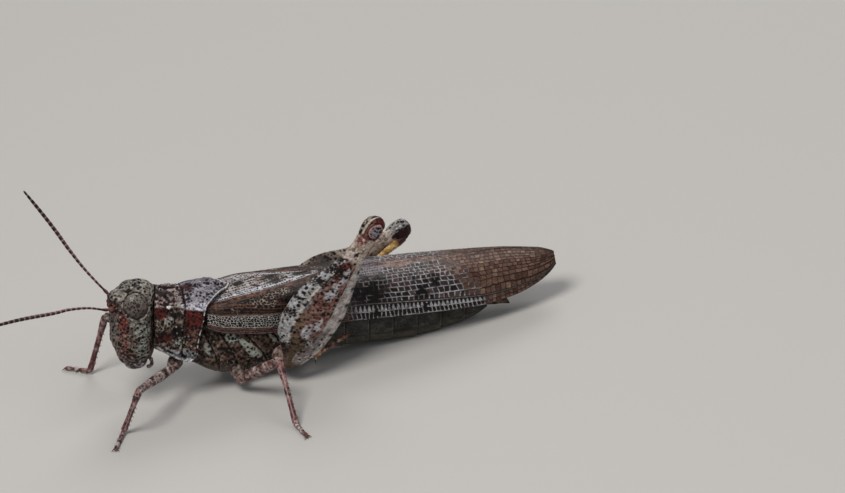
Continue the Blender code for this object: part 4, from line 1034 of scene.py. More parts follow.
def make_abdomen():
    rows, columns = GRIDS["abdomen"]
    y = np.linspace(ABDOMEN_START, ABDOMEN_END, rows)
    top, low, half = ABDOMEN_TOP(y), ABDOMEN_LOW(y), ABDOMEN_HALF(y)
    P = body_rings(y, top, low, 0.5, half, columns, 2.2)
    Y, Z = P[..., 1], P[..., 2]
    share = ((Y - ABDOMEN_START) / (ABDOMEN_END - ABDOMEN_START) * SEGMENTS) % 1.0
    mid = (0.5 * (top + low))[:, None]
    fold_z = mid - 0.5 * (mid - low[:, None])
    plate = step(0.0, 0.06, share) * step(1.0, 0.975, share)
    h = 0.07 * share ** 1.5 * plate - 0.09 * (1 - plate)
    h -= 0.11 * hill(Z, fold_z, 0.12) * (np.abs(P[..., 0]) > 0.6)
    h += 0.03 * (fractal(P, 0.3, 150) - 0.5)
    spiracle = np.hypot((share - 0.3) * SEGMENT_LENGTH, Z - fold_z - 0.55)
    h -= 0.06 * step(0.12, 0.05, spiracle) - 0.02 * hill(spiracle, 0.15, 0.03)
    fine, coarse = fractal(P, 0.12, 151), fractal(P, 0.7, 152)
    paint = Paint(P.shape[:2], (52, 51, 47))
    paint.over((80, 77, 70), step(0.5, 0.68, coarse) * 0.6)
    paint.over((30, 29, 27), step(0.47, 0.32, coarse) * 0.8)
    paint.over((104, 98, 92), step(0.94, 0.975, share) * plate * step(0.3, 0.5, fine))
    paint.over((20, 18, 17), step(0.06, 0.0, share))
    paint.over((92, 84, 74), step(fold_z + 0.1, fold_z - 0.35, Z) * 0.6)
    paint.over((30, 26, 24), dots(P, 0.2, 0.045, 0.6, 153) * 0.7)
    paint.over((90, 84, 76), hill(spiracle, 0.15, 0.03) * 0.4)
    paint.over((20, 16, 14), step(0.1, 0.04, spiracle) * 0.7)
    paint.dim(grain(P, 154, 0.7, 1.3))
    Shape().add(raised(P, h), paint.rgb).place("abdomen_skin", ABDOMEN, "abdomen_shell", "abdomen")


def make_cerci():
    rows, columns = GRIDS["cercus"]
    for name, side in SIDES:
        path = smooth_path([(side * x, y, z) for x, y, z in CERCUS_PATH], rows)
        P, _ = tube(path, 0.24 * np.linspace(1, 0.0, rows) ** 0.55 + 0.01, columns)
        paint = mottled(P, (96, 84, 74), (52, 42, 38), (132, 120, 108), 155, 0.25)
        Shape().add(P, paint.rgb).place("cercus_tip_" + name, ABDOMEN, "abdomen_shell", "cercus_" + name)


def make_valves():
    rows, columns = GRIDS["valve"]
    radius = table([0, 0.4, 0.75, 1.0], [0.23, 0.27, 0.22, 0.03])(np.linspace(0, 1, rows))
    for name, sign in (("upper", 1.0), ("lower", -1.0)):
        shape = Shape()
        for side in (-1, 1):
            path = smooth_path([(side * x, y, 5.2 + z * sign) for x, y, z in VALVE_PATH], rows)
            P, _ = tube(path, radius, columns)
            paint = mottled(P, (104, 84, 68), (60, 42, 34), (136, 118, 100), 157, 0.3)
            paint.over((26, 16, 12), step(32.1, 32.45, P[..., 1]))
            shape.add(P, paint.rgb)
        shape.place("valves_" + name, ABDOMEN, "abdomen_shell", "ovipositor_" + name)


make_mouth()
make_saddle()
make_thorax()
make_abdomen()
make_cerci()
make_valves()


# --- wings ---------------------------------------------------------------------------

WING_ROOT_Y, WING_TIP_Y = 7.62, 36.2
WING_OUT = table([7.6, 9.0, 12.0, 20.0, 25.0, 29.0, 33.0, 35.0, 35.8, WING_TIP_Y],
                 [2.62, 2.78, 2.85, 2.8, 2.6, 2.3, 1.75, 1.3, 1.05, 0.8])
WING_TOP = table([7.6, 8.6, 9.6, 11.0, 14.0, 24.0, 31.0, 35.0, WING_TIP_Y],
                 [8.35, 8.5, 8.7, 8.9, 8.97, 9.05, 9.0, 8.75, 8.45])
WING_LOW = table([7.6, 9.0, 12.8, 18.5, 29.5, 32.5, 34.5, 35.6, WING_TIP_Y],
                 [6.55, 6.05, 5.62, 5.8, 5.57, 5.95, 6.6, 7.25, 7.8])
WING_AXIS = (0.0, 20.0, 6.5)            # a point inside the folded wings
WING_EASE = 0.0765                      # how far along a section its corners are eased, as a share
# Veins and bands of a forewing: share of its width from the lower edge (0) to the back (1).
RADIUS_W = table([7.6, 11, 13.4, 19, 22.3, 28.9, 33, 36],
                 [0.33, 0.31, 0.295, 0.25, 0.224, 0.171, 0.14, 0.1])
MEDIA_W = table([7.6, 10.2, 13.4, 17, 22, 29, 36], [0.44, 0.43, 0.36, 0.31, 0.265, 0.205, 0.12])
CUBITUS_W = table([7.6, 10.2, 13.4, 17, 20], [0.49, 0.475, 0.42, 0.40, 0.40])
RUST_W = table([7.6, 10.4, 13, 15, 17, 19], [0.55, 0.595, 0.70, 0.79, 0.89, 1.0])
PALE_W = table([7.6, 9.5, 12, 15, 17, 18.5], [0.645, 0.69, 0.775, 0.875, 0.95, 1.02])
ROW_SHARE = 0.068                       # height of a row of cells, as a share of the wing's width
BEAD_ROW = 0.26                         # height of a row of beads, in mm

# Marks of a forewing: centre and size, along it in mm and across it in shares of its width.
BACK_SPOTS = (((13.47, 0.88), (0.55, 0.05)), ((15.9, 0.955), (0.8, 0.04)), ((13.2, 0.975), (0.7, 0.035)),
              ((10.6, 0.94), (0.5, 0.035)), ((17.6, 0.94), (0.5, 0.045)), ((11.9, 0.83), (0.25, 0.03)),
              ((14.4, 0.93), (0.3, 0.035)), ((9.4, 0.9), (0.2, 0.035)), ((16.6, 0.86), (0.35, 0.035)))
BLACK_BLOTCHES = (((20.6, 0.5), (1.65, 0.28)), ((21.0, 0.29), (1.3, 0.13)), ((14.9, 0.50), (0.95, 0.1)),
                  ((17.7, 0.62), (0.75, 0.14)), ((25.0, 0.34), (0.5, 0.1)), ((26.1, 0.52), (0.45, 0.12)))
TOOTH_GAPS = (((21.15, 0.12), (0.32, 0.07)), ((25.3, 0.1), (0.22, 0.06)))


def wing_section(y, columns, reach):
    """Points across a forewing at y, from its lower edge to reach past the middle of the back."""
    out, top, low = WING_OUT(y), WING_TOP(y), WING_LOW(y)
    drop = min(0.62, 0.4 * (top - low))
    shoulder = top - drop
    knots = np.array([(out, low), (out + 0.02, low + 0.3 * (shoulder - low)),
                      (out - 0.03, low + 0.65 * (shoulder - low)), (out - 0.16, shoulder),
                      (out - 0.42, shoulder + 0.55 * drop), (out * 0.66, top - 0.12),
                      (out * 0.33, top - 0.03), (0.03, top)])
    d = np.r_[0, np.cumsum(np.linalg.norm(np.diff(knots, axis=0), axis=1))]
    at = np.linspace(0, d[-1], columns)
    xz = np.stack([np.interp(at, d, knots[:, k]) for k in range(2)], axis=1)
    ease = round(WING_EASE * columns)
    kernel = np.hanning(2 * ease + 1)
    kernel /= kernel.sum()
    padded = np.concatenate([2 * xz[:1] - xz[ease:0:-1], xz, 2 * xz[-1:] - xz[-2:-ease - 2:-1]])
    xz = np.stack([np.convolve(padded[:, k], kernel, "valid") for k in range(2)], axis=1)
    past = step(0.75, 1.0, np.linspace(0, 1, columns))
    xz[:, 0] -= reach * past
    xz[:, 1] += 0.05 * past * (reach > 0)
    return xz, d[-1]


def wing_grid(side):
    """Points of a forewing, their shares of its width, and the width. The left wing lies on top."""
    rows, columns = GRIDS["forewing"]
    reach = 0.5 if side > 0 else 0.0
    y = np.linspace(WING_ROOT_Y, WING_TIP_Y, rows)
    P = np.empty((rows, columns, 3))
    width = np.empty(rows)
    for i, place in enumerate(y):
        xz, width[i] = wing_section(place, columns, reach * step(WING_TIP_Y, WING_TIP_Y - 3, place))
        P[i, :, 0], P[i, :, 1], P[i, :, 2] = side * xz[:, 0], place, xz[:, 1]
    W = np.linspace(0, 1, columns)[None, :] * np.ones((rows, 1))
    return P, W, width[:, None] * np.ones_like(W)


def between(value, size):
    """Distance to the nearest line between rows or columns of the given size."""
    return np.minimum(value % 1.0, 1 - value % 1.0) * size


class WingPlan:
    """Where the veins and cells of a forewing lie, from (Y, W) and its width at each place."""

    def __init__(self, Y, W, width, seed):
        flat = np.stack([Y, W * width], axis=-1)
        shaken = flat + 0.10 * (np.stack([noise(flat, 0.5, seed), noise(flat, 0.5, seed + 1)], -1) - 0.5)
        self.flat = flat
        self.first, second, _ = cells(shaken * (1.0, 1.2), 0.27, seed + 2)
        self.net = step(0.26, 0.12, second - self.first)
        near, next_near, _ = cells(shaken * (0.85, 1.0), 0.2, seed + 15)
        self.strip_net = step(0.2, 0.08, next_near - near)
        radius, media, rust = RADIUS_W(Y), MEDIA_W(Y), RUST_W(Y)
        # rows of cells in the outer half
        below = W < radius
        lean = 0.014 * np.clip(Y - 20, 0, 12) * step(0.1, 0.5, W)
        row = np.where(below, (W / radius - 1) * 2.0, (W - radius - lean) / ROW_SHARE)
        row = row + 0.22 * (noise(flat, 1.1, seed + 3) - 0.5) + 0.12 * (noise(flat, 0.4, seed + 6) - 0.5)
        index = np.floor(row)
        rank = random_at(np.stack([index, index * 0], -1), seed + 4)
        spacing = np.where(below, 0.34, 0.36 + 0.16 * rank)
        slant = np.where(below, 0.1, 0.5 * (rank - 0.3))
        column = (Y + slant * (row - index) * 0.4) / spacing + 3.0 * rank
        column = column + 0.5 * (noise(flat, 0.8, seed + 8) - 0.5)
        rung = between(column, spacing)
        rail = between(row, np.where(below, 0.5 * radius, ROW_SHARE) * width)
        self.box = np.maximum(step(0.046, 0.02, rung), step(0.042, 0.018, rail))
        self.box_key = random_at(np.stack([index, np.floor(column)], -1), seed + 5)
        tooth = 0.10 + 0.05 * np.cos(math.pi * (row - index))
        self.teeth = step(tooth, tooth - 0.04, rung) * (index == -1)
        # long veins, of which some run only in the basal half
        self.main = np.zeros_like(Y)
        basal = step(20.0, 18.5, Y)
        for reach, place, thick in ((1, radius, 0.05), (1, media, 0.045), (1, radius + 0.03, 0.035),
                                    (basal, CUBITUS_W(Y), 0.045), (basal, rust - 0.045, 0.05),
                                    (basal, rust + 0.04, 0.045), (basal, PALE_W(Y) + 0.035, 0.045),
                                    (basal, 0.5 * (radius + media), 0.03)):
            self.main = np.maximum(self.main, reach * hill((W - place) * width, 0, thick))
        self.distal = step(18.6, 20.2, Y)
        # rows of beads on the field over the back, alongside the rust band
        line = (W - rust) * width / BEAD_ROW + 0.15 * (noise(flat, 0.9, seed + 10) - 0.5)
        number = np.floor(line)
        shift = random_at(np.stack([number, number * 0], -1), seed + 11)
        place = Y / 0.215 + 5.0 * shift + 0.5 * (noise(flat, 0.6, seed + 12) - 0.5)
        luck = random_at(np.stack([number, np.floor(place)], -1), seed + 13)
        away = np.hypot((line - number - 0.5) * BEAD_ROW, (place - np.floor(place) - 0.5) * 0.19)
        size = 0.065 + 0.045 * luck
        self.beads = step(size, size - 0.03, away) * (luck > 0.1)
        self.squares = step(0.44, 0.5, noise(np.stack([Y * 3.2, Y * 0], -1), 1.0, seed + 14))


def wing_relief(P, W, plan):
    vein = np.maximum(plan.main, (1 - plan.distal) * plan.net * 0.6 + plan.distal * plan.box * 0.8)
    sag = 0.03 * (fractal(P, 1.2, 170) - 0.5)
    edge = hill(W, 0.0, 0.012) + hill(W, 1.0, 0.01)
    return 0.045 * vein + 0.05 * edge + sag


def wing_colours(P, W, width, plan):
    flat = plan.flat
    coarse, medium, fine = fractal(flat, 0.9, 182), fractal(flat, 0.3, 185), fractal(flat, 0.13, 183)
    y = P[..., 1]
    Y = flat[..., 0] + 0.5 * (fractal(flat, 0.7, 180) - 0.5) + 0.3 * (noise(flat, 0.2, 189) - 0.5)
    V = flat[..., 1] + 0.5 * (fractal(flat, 0.7, 181) - 0.5) + 0.2 * (noise(flat, 0.2, 190) - 0.5)
    V = V / width
    basal, cell = 1 - plan.distal, plan.distal
    rust, radius, pale = RUST_W(y), RADIUS_W(y), PALE_W(y)
    back = step(0.0, 0.02, W - (rust + 0.03))                 # the field over the back
    flank = step(0.0, 0.015, W - radius) * (1 - back)
    paint = Paint(P.shape[:2], (62, 50, 46))
    # flank near the root: nearly black cells between rust and cream cross veins
    side = flank * basal
    paint.over((44, 31, 27), side)
    paint.over((15, 11, 10), side * step(0.56, 0.4, plan.first) * step(0.3, 0.45, medium))
    paint.over((104, 74, 62), side * plan.net * step(0.3, 0.45, medium))
    paint.over((168, 158, 147), side * plan.net * step(0.55, 0.6, coarse) * step(0.4, 0.5, fine))
    night = step(0.54, 0.6, noise(np.stack([Y / 0.7, W * 9], -1), 1.0, 198))
    paint.over((14, 11, 10), side * night * (1 - 0.5 * plan.net))
    # field over the back: cream and grey with rows of small black beads
    over = back * basal
    paint.over((158, 150, 146), over)
    paint.over((176, 171, 169), over * step(0.5, 0.6, medium) * 0.7)
    paint.over((128, 102, 90), over * step(0.47, 0.36, coarse) * 0.75)
    paint.over((194, 195, 201), hill(W, pale + 0.005, 0.07) * over * step(0.2, 0.35, fine))
    paint.over((12, 9, 8), plan.beads * over)
    paint.over((24, 16, 14), hill(W, pale - 0.048, 0.009) * basal * step(0.3, 0.45, fine))
    # rust band with dark squares
    band = hill(W, rust, 0.024) * basal
    paint.over((114, 70, 55), band)
    paint.over((24, 15, 13), band * plan.squares * step(0.25, 0.4, fine))
    paint.over((22, 15, 13), hill(W, rust - 0.042, 0.013) * basal * 0.9)
    paint.patches((16, 12, 11), Y, V, BACK_SPOTS, 0.3)
    # strip along the lower edge: white net on black, then the brown front edge with its veins
    strip = step(radius, radius - 0.02, W) * step(0.085, 0.115, W)
    paint.over((16, 12, 11), strip * basal)
    net = strip * basal * plan.strip_net
    paint.over((194, 189, 184), net * step(16.0, 13.5, Y) * step(0.2, 0.35, medium))
    paint.over((132, 114, 105), net * step(13.5, 15.5, Y))
    for place in (0.30, 0.105):
        vein = hill(W, place + 0.02 * (10 - np.clip(y, 8, 16)) / 6, 0.008)
        paint.over((176, 160, 150), vein * basal * step(0.35, 0.5, fine))
    costal = step(0.10, 0.08, W) * basal
    paint.over((78, 52, 47), costal)
    paint.over((122, 98, 92), costal * hill((W * 34) % 1.0, 0.5, 0.2) * step(0.35, 0.5, fine))
    paint.over((30, 19, 17), costal * hill((W * 34 + 0.5) % 1.0, 0.5, 0.2) * 0.9)
    # lengthwise veins
    paint.over((104, 74, 62), plan.main * basal * step(0.2, 0.4, fine) * 0.9)
    for share in (0.3, 0.62):
        vein = radius + share * (MEDIA_W(y) - radius)
        paint.over((14, 10, 9), hill((W - vein) * width, 0, 0.07) * basal * 0.85)
    # outer half: dark cells in a thin white net, brown towards the tip
    paint.over((56, 48, 49), cell)
    paint.over((28, 23, 24), cell * step(0.35, 0.6, plan.box_key))
    paint.over((84, 70, 68), cell * step(0.82, 0.87, plan.box_key))
    paint.over((82, 60, 53), cell * step(0.56, 0.66, coarse) * 0.7)
    tan = step(26.2, 28.4, Y - 3.6 * (0.85 - V) + 1.6 * (plan.box_key - 0.5))
    paint.over((112, 84, 71), cell * tan)
    paint.over((84, 58, 48), cell * tan * step(0.4, 0.7, plan.box_key))
    paint.over((142, 114, 98), cell * tan * step(0.86, 0.9, plan.box_key) * 0.8)
    night = np.max([patch(Y, V, centre, size, 0.35) for centre, size in BLACK_BLOTCHES], axis=0)
    thin = step(0.25, 0.5, noise(flat, 0.3, 186))
    white = cell * plan.box * (1 - tan)
    paint.over((176, 173, 176), white * (0.35 + 0.65 * thin))
    paint.over((44, 29, 25), cell * plan.box * tan)
    paint.over((17, 13, 13), night * (0.85 + 0.15 * thin))
    paint.over((138, 128, 124), night * cell * plan.box * step(0.6, 0.68, noise(flat, 0.5, 187)) * 0.8)
    # below the double dark line: white teeth, a gap in them, a row of small cells
    low = cell * (W < radius - 0.012) * (W > 0.03) * (1 - tan)
    paint.over((24, 19, 19), low)
    net = np.maximum(plan.teeth, plan.box * (W < 0.5 * radius + 0.008))
    paint.over((176, 172, 174), low * net * (0.5 + 0.5 * thin))
    paint.patches((20, 15, 15), Y, V, TOOTH_GAPS, 0.3, cell)
    for gap in (-0.006, 0.026):
        paint.over((26, 20, 20), hill((W - radius - gap) * width, 0, 0.055) * cell)
    paint.over((112, 104, 100), hill((W - radius - 0.01) * width, 0, 0.03) * cell * 0.8)
    # plain strip over the back
    plain = step(0.86, 0.89, V - 0.01 * (Y - 24)) * step(20.6, 22.3, Y) * step(29.5, 27.0, Y)
    paint.over((140, 118, 110), plain)
    paint.over((112, 90, 82), plain * step(0.5, 0.64, medium) * 0.8)
    lilac = step(0.72, 0.84, V) * step(18.4, 19.6, y) * step(22.6, 21.4, y)
    paint.over((128, 120, 126), lilac * (1 - plan.beads))
    paint.over((34, 26, 25), lilac * plan.beads * 0.8)
    stroke = step(0.45, 0.56, noise(flat, 0.3, 191))
    paint.over((30, 20, 18), hill(W, 0.965, 0.012) * step(18.5, 20.0, y) * stroke)
    paint.over((44, 28, 24), hill(W, 0.0, 0.01) + hill(W, 1.0, 0.008))
    paint.over((14, 10, 9), dots(flat, 0.42, 0.12, 0.5, 188) * basal * (0.3 + 0.7 * side) * 0.9)
    paint.dim(grain(flat, 193, 0.78, 1.22))
    return paint.rgb


def tucked_row(body, row, near):
    """The end row of a wing, tucked in under its edge."""
    tucked = body[row] + unit(body[row] - body[near]) * 0.03
    tucked[:, 2] -= 0.08
    return tucked[None]


def make_forewings():
    for name, side in SIDES:
        P, W, width = wing_grid(side)
        plan = WingPlan(P[..., 1], W, width, 160 if side > 0 else 1160)
        rgb = wing_colours(P, W, width, plan)
        outer = raised(P, wing_relief(P, W, plan), wrap=False, axis_point=WING_AXIS)
        inner = raised(P, -0.10 * np.ones_like(W), wrap=False, axis_point=WING_AXIS)
        halfway = inner * 0.6 + outer * 0.4
        body = np.concatenate([inner[:, 4:5], inner[:, :1], halfway[:, :1], outer, halfway[:, -1:],
                               inner[:, -1:], inner[:, -5:-4]], axis=1)
        body = np.concatenate([tucked_row(body, 0, 1), body, tucked_row(body, -1, -2)])
        rgb = np.pad(rgb, ((1, 1), (3, 3), (0, 0)), "edge")
        shape = Shape().add(body, rgb, wrap=False, axis_point=WING_AXIS)
        shape.place("forewing_" + name, WING, "tegmen_membrane", "tegmen_" + name)


def make_hindwings():
    rows, columns = GRIDS["hindwing"]
    y, across = np.linspace(15.0, 34.6, rows), np.linspace(0, 1, columns)
    out = (WING_OUT(y) - 1.0) * np.where(y > 33.5, 1 - 0.2 * (y - 33.5) / 1.1, 1.0)
    top = WING_TOP(y) - 0.72
    pleat = np.abs(((across * 13) % 1.0) * 2 - 1)
    rib = np.r_[pleat, pleat[::-1]][None, :] * np.ones((rows, 1))
    for name, side in SIDES:
        x = side * (0.06 + (out[:, None] - 0.06) * across)
        z = top[:, None] - 0.05 * across - 0.2 * across ** 6 - 0.07 * pleat
        upper = np.stack([x, y[:, None] * np.ones(columns), z], axis=-1)
        lower = upper.copy()
        lower[..., 2] = 7.66 + 0.12 * (1 - across) + 0.6 * (0.07 * pleat)
        P = np.concatenate([upper, lower[:, ::-1]], axis=1)
        paint = mottled(P, (168, 156, 132), (146, 130, 106), (186, 178, 160), 195, 1.2)
        paint.over((84, 64, 50), step(0.8, 0.97, rib) * 0.8)
        paint.over((96, 74, 60), step(0.1, 0.04, (P[..., 1] * 2.2) % 1.0) * 0.4)
        shape = Shape().add(P, paint.rgb)
        shape.place("folded_wing_" + name, UNDERWING, "hindwing_membrane", "hindwing_" + name)


# --- legs ----------------------------------------------------------------------------

def over_floor(x, y, height):
    """A point at a height over the floor, in the body frame."""
    return x, y, FLOOR_START + FLOOR_SLOPE * y + height


# Joints of each leg: where the coxa starts in the body, hip, knee, ankle, claw.
LEG_JOINTS = {
    ("fore", "left"): ((1.25, 5.25, 3.55), (2.05, 4.62, 3.12), (6.0, 1.30, 3.50),
                       over_floor(4.75, 0.15, 0.3), over_floor(7.35, -1.02, 0.21)),
    ("fore", "right"): ((-1.25, 5.25, 3.55), (-2.05, 4.62, 3.12), (-6.1, 0.85, 4.45),
                        over_floor(-6.7, -0.5, 0.3), over_floor(-8.5, -2.2, 0.21)),
    ("middle", "left"): ((1.7, 9.9, 2.6), (2.75, 10.0, 1.78), (6.8, 12.48, 5.02),
                         over_floor(11.1, 12.85, 0.3), over_floor(13.3, 13.3, 0.21)),
    ("middle", "right"): ((-1.7, 9.9, 2.6), (-2.75, 10.0, 1.78), (-6.5, 12.9, 5.0),
                          over_floor(-9.9, 14.3, 0.3), over_floor(-12.0, 15.6, 0.21)),
}
HIND_JOINTS = {
    "left": dict(coxa=(2.15, 13.35, 3.55), hip=(3.18, 13.75, 3.2), base=(3.72, 13.98, 3.3),
                 knee=(4.95, 20.88, 14.9), ankle=(3.35, 15.9, 3.35), claw=(3.3, 18.8, 5.0)),
    "right": dict(coxa=(-2.15, 13.35, 3.55), hip=(-3.15, 13.77, 3.2), base=(-3.8, 14.1, 3.15),
                  knee=(-7.7, 25.45, 8.15), ankle=(-3.3, 15.5, 2.3), claw=(-3.4, 18.2, 2.8)),
}
TOES = ((0.0, 0.43), (0.44, 0.62), (0.6, 0.97))      # start and end of a foot's joints, as shares of it
HAIR_RADIUS = 0.014
# A hind femur along its length: share, heights above and below its line, half width, shift outwards.
THIGH_SHARE, *THIGH_SIZES = zip(
    (-0.035, 0.4, 0.45, 0.3, 0), (0.0, 0.7, 0.8, 0.42, 0), (0.05, 1.2, 1.1, 0.6, 0),
    (0.11, 1.95, 1.45, 0.76, 0.02), (0.18, 2.5, 1.62, 0.86, 0.04), (0.27, 2.8, 1.74, 0.86, 0.06),
    (0.37, 2.8, 1.76, 0.82, 0.07), (0.48, 2.5, 1.54, 0.74, 0.07), (0.58, 1.92, 1.24, 0.62, 0.06),
    (0.68, 1.36, 0.94, 0.52, 0.03), (0.78, 1.0, 0.68, 0.46, 0), (0.87, 0.84, 0.62, 0.44, 0),
    (0.93, 0.92, 0.74, 0.52, 0), (0.985, 1.02, 0.84, 0.56, 0), (1.03, 0.9, 0.7, 0.5, 0),
    (1.06, 0.7, 0.5, 0.4, 0))
THIGH_ABOVE, THIGH_BELOW, THIGH_HALF, THIGH_SHIFT = (table(THIGH_SHARE, size) for size in THIGH_SIZES)


def banded(P, t, seed, bands, base=(146, 108, 106), dark=(50, 26, 28), pale=(180, 156, 154)):
    """A slim leg segment: pinkish, with dark bands at the given shares of its length."""
    paint = mottled(P, base, (104, 68, 66), pale, seed, 0.3)
    shaken = t + 0.05 * (fractal(P, 0.3, seed + 1) - 0.5) * 2
    ragged = step(0.36, 0.48, fractal(P, 0.2, seed + 4))
    for centre, width in bands:
        paint.over(dark, np.exp(-((shaken - centre) / width) ** 4) * ragged * 0.9)
    paint.over((26, 16, 16), dots(P, 0.24, 0.085, 0.6, seed + 2) * 0.9)
    return paint


def fur(shape, P, count, length, lean, seed, colour=(150, 140, 132)):
    """Scatter stiff hairs over a grid of points."""
    rng = np.random.default_rng(seed)
    N = normals(P, True)
    N = N * outward_sign(P, N)
    i = rng.integers(4, P.shape[0] - 4, count)
    j = rng.integers(0, P.shape[1], count)
    shape.hairs(P[i, j], N[i, j], lean, length, HAIR_RADIUS, colour, seed)


def slim(start, end, side, radii, rows, columns, keel=0.0, seed=0):
    """A slender leg segment with rounded ends and faint keels."""
    profile = table([0.0, 0.12, 0.35, 0.7, 0.9, 1.0], radii)
    P, t, q, s = limb(start, end, side, profile, profile, profile, rows, columns,
                      first=-0.02, last=1.02, round_ends=(0.28, 0.28))
    keels = hill(np.abs(q), 1.0, 0.12) + hill(q, 0.0, 0.1)
    relief = 0.03 * (fractal(P, 0.25, seed) - 0.5) + keel * keels
    return raised(P, relief), t, q, s


def spike(shape, root, way, length, radius, root_tone, tip_tone, turns, sides=10, rows=9, bend=0.0,
          side=(0, 0, 1)):
    """Add a spine whose colour turns from its root's to its tip's between two shares of its length."""
    P = cone(root, unit(way), length, radius, sides, rows, bend, side)
    shade = step(*turns, np.linspace(0, 1, rows))[:, None] * np.ones(sides)
    shape.add(P, Paint(P.shape[:2], root_tone).over(tip_tone, shade).rgb)


def claws(shape, tip, along, across, up, seed):
    for sign in (-1, 1):
        way = along * 0.75 + across * sign * 0.6 + up * 0.15
        spike(shape, tip + across * sign * 0.06, way, 0.42, 0.065, (112, 62, 48), (24, 12, 10),
              (0.4, 0.9), 10, 12, bend=-0.5, side=up)
    pad = smooth_path([tip, tip + along * 0.16 - up * 0.02, tip + along * 0.27 - up * 0.05], 14)
    P, _ = tube(pad, 0.11 * np.sqrt(np.clip(1 - np.linspace(-0.3, 0.97, 14) ** 2, 0.02, 1)), 14, flat=0.6)
    shape.add(P, mottled(P, (92, 70, 62), (60, 44, 40), (120, 98, 90), seed, 0.1).rgb)


def make_foot(name, material, slot, node, ankle, claw, seed, tone):
    """Three joints with pads beneath, two claws and the pad between them."""
    a, b = np.asarray(ankle, float), np.asarray(claw, float)
    along = unit(b - a)
    up = unit(FLOOR_UP - along * np.dot(FLOOR_UP, along))
    across = np.cross(up, along)
    length = float(np.linalg.norm(b - a))
    shape = Shape()
    rows, columns = GRIDS["toe"]
    u = np.linspace(0, 1, rows)
    for k, (first, last) in enumerate(TOES):
        path = a + along * (length * (first + (last - first) * u))[:, None]
        girth = (0.17, 0.17, 0.13 + 0.05 * u)[k] * np.sqrt(np.clip(1 - (2 * u - 1) ** 6, 0.03, 1))
        P, angle = tube(path, girth, columns, up=up)
        pads = hill((u * (2.0 if k == 0 else 1.0)) % 1.0, 0.62, 0.22) if k < 2 else 0 * u
        P = P - up * (0.07 * pads[:, None] * np.clip(-np.cos(angle), 0, 1)[None, :])[..., None]
        rgb = banded(P, u[:, None] * np.ones(columns), seed + k, ((0.9, 0.14), (0.1, 0.1)), *tone)
        shape.add(P, rgb.rgb)
        fur(shape, P, 26, 0.16, along * 0.9, seed + 20 + k)
    claws(shape, a + along * length * 0.94, along, across, up, seed + 9)
    shape.place(name, material, slot, node)


# Thickness along the femur, and its base, dark and pale tones.
SLIM_THIGHS = {
    "fore": ((0.32, 0.38, 0.4, 0.34, 0.3, 0.33), ((150, 134, 128), (62, 42, 40), (190, 182, 176))),
    "middle": ((0.34, 0.43, 0.47, 0.44, 0.38, 0.38), ((140, 112, 108), (58, 34, 34), (180, 164, 160))),
}


def make_coxa(pair, tag, side, coxa, hip, knee, seed):
    """A coxa, and the bead at its hinge with the femur."""
    P, _, _, _ = slim(coxa, hip, side, (0.5, 0.62, 0.6, 0.52, 0.42, 0.36), *GRIDS["coxa"], seed=seed)
    shape = Shape().add(P, mottled(P, (98, 80, 73), (50, 35, 32), (140, 126, 119), seed + 1, 0.25).rgb)
    start, way = np.asarray(hip, float), unit(np.subtract(knee, hip))
    bead = smooth_path([start - way * 0.2, start, start + way * 0.3], 24)
    P, _ = tube(bead, 0.37 * np.sqrt(np.clip(1 - np.linspace(-1, 1, 24) ** 4, 0.02, 1)), 40)
    shape.add(P, mottled(P, (128, 92, 86), (76, 46, 44), (164, 144, 140), seed + 2, 0.25).rgb)
    shape.place(pair + "_coxa_skin" + tag, LEG, "leg_shell", pair + "_coxa" + tag)


def make_femur(pair, tag, side, hip, knee, seed):
    girth, tones = SLIM_THIGHS[pair]
    P, t, _, _ = slim(hip, knee, side, girth, *GRIDS["femur"], 0.035, seed + 3)
    paint = banded(P, t, seed + 4, ((0.28, 0.07), (0.62, 0.06), (0.93, 0.04)), *tones)
    shape = Shape().add(P, paint.rgb)
    fur(shape, P, 60, 0.17, unit(np.subtract(knee, hip)) * 0.8, seed + 5)
    shape.place(pair + "_femur_skin" + tag, LEG, "leg_shell", pair + "_femur" + tag)


def make_tibia(pair, tag, side, knee, ankle, seed):
    """A fore or middle tibia, with a row of small spines on each side beneath."""
    girth = (0.27, 0.27, 0.2, 0.19, 0.22, 0.24)
    P, t, q, s = slim(knee, ankle, side, girth, *GRIDS["tibia"], 0.03, seed + 6)
    paint = banded(P, t, seed + 7, ((0.18, 0.05), (0.5, 0.05)))
    dark = step(0.45, 0.7, t) * step(0.96, 0.9, t) * step(0.3, 0.5, fractal(P, 0.3, seed + 9))
    pale = hill(q, 0.2, 0.14) * step(0.1, 0.3, t) * step(0.95, 0.85, t) * (s > 0)
    paint.over((84, 40, 42), dark * 0.8).over((196, 170, 168), pale * 0.7)
    shape = Shape().add(P, paint.rgb)
    _, length, along, across, up = limb_axes(knee, ankle, side)
    for k in range(6):
        for sign in (-1, 1):
            share = 0.32 + 0.105 * k + 0.04 * sign
            root = np.asarray(knee) + along * length * share - up * 0.12 + across * sign * 0.13
            spike(shape, root, along * 0.7 - up * 0.6 + across * sign * 0.55, 0.3, 0.045,
                  (150, 118, 100), (30, 18, 16), (0.3, 0.9), 8, 6)
    fur(shape, P, 60, 0.18, along * 0.8, seed + 8)
    shape.place(pair + "_tibia_skin" + tag, LEG, "leg_shell", pair + "_tibia" + tag)


def make_slim_legs():
    for index, ((pair, name), (coxa, hip, knee, ankle, claw)) in enumerate(LEG_JOINTS.items()):
        side = 1.0 if name == "left" else -1.0
        tag, seed = "_" + name, 300 + 40 * index
        make_coxa(pair, tag, side, coxa, hip, knee, seed)
        make_femur(pair, tag, side, hip, knee, seed)
        make_tibia(pair, tag, side, knee, ankle, seed)
        make_foot(pair + "_foot" + tag, LEG, "leg_shell", pair + "_tarsus" + tag, ankle, claw, seed + 10,
                  ((142, 106, 102), (60, 36, 36), (182, 168, 164)))


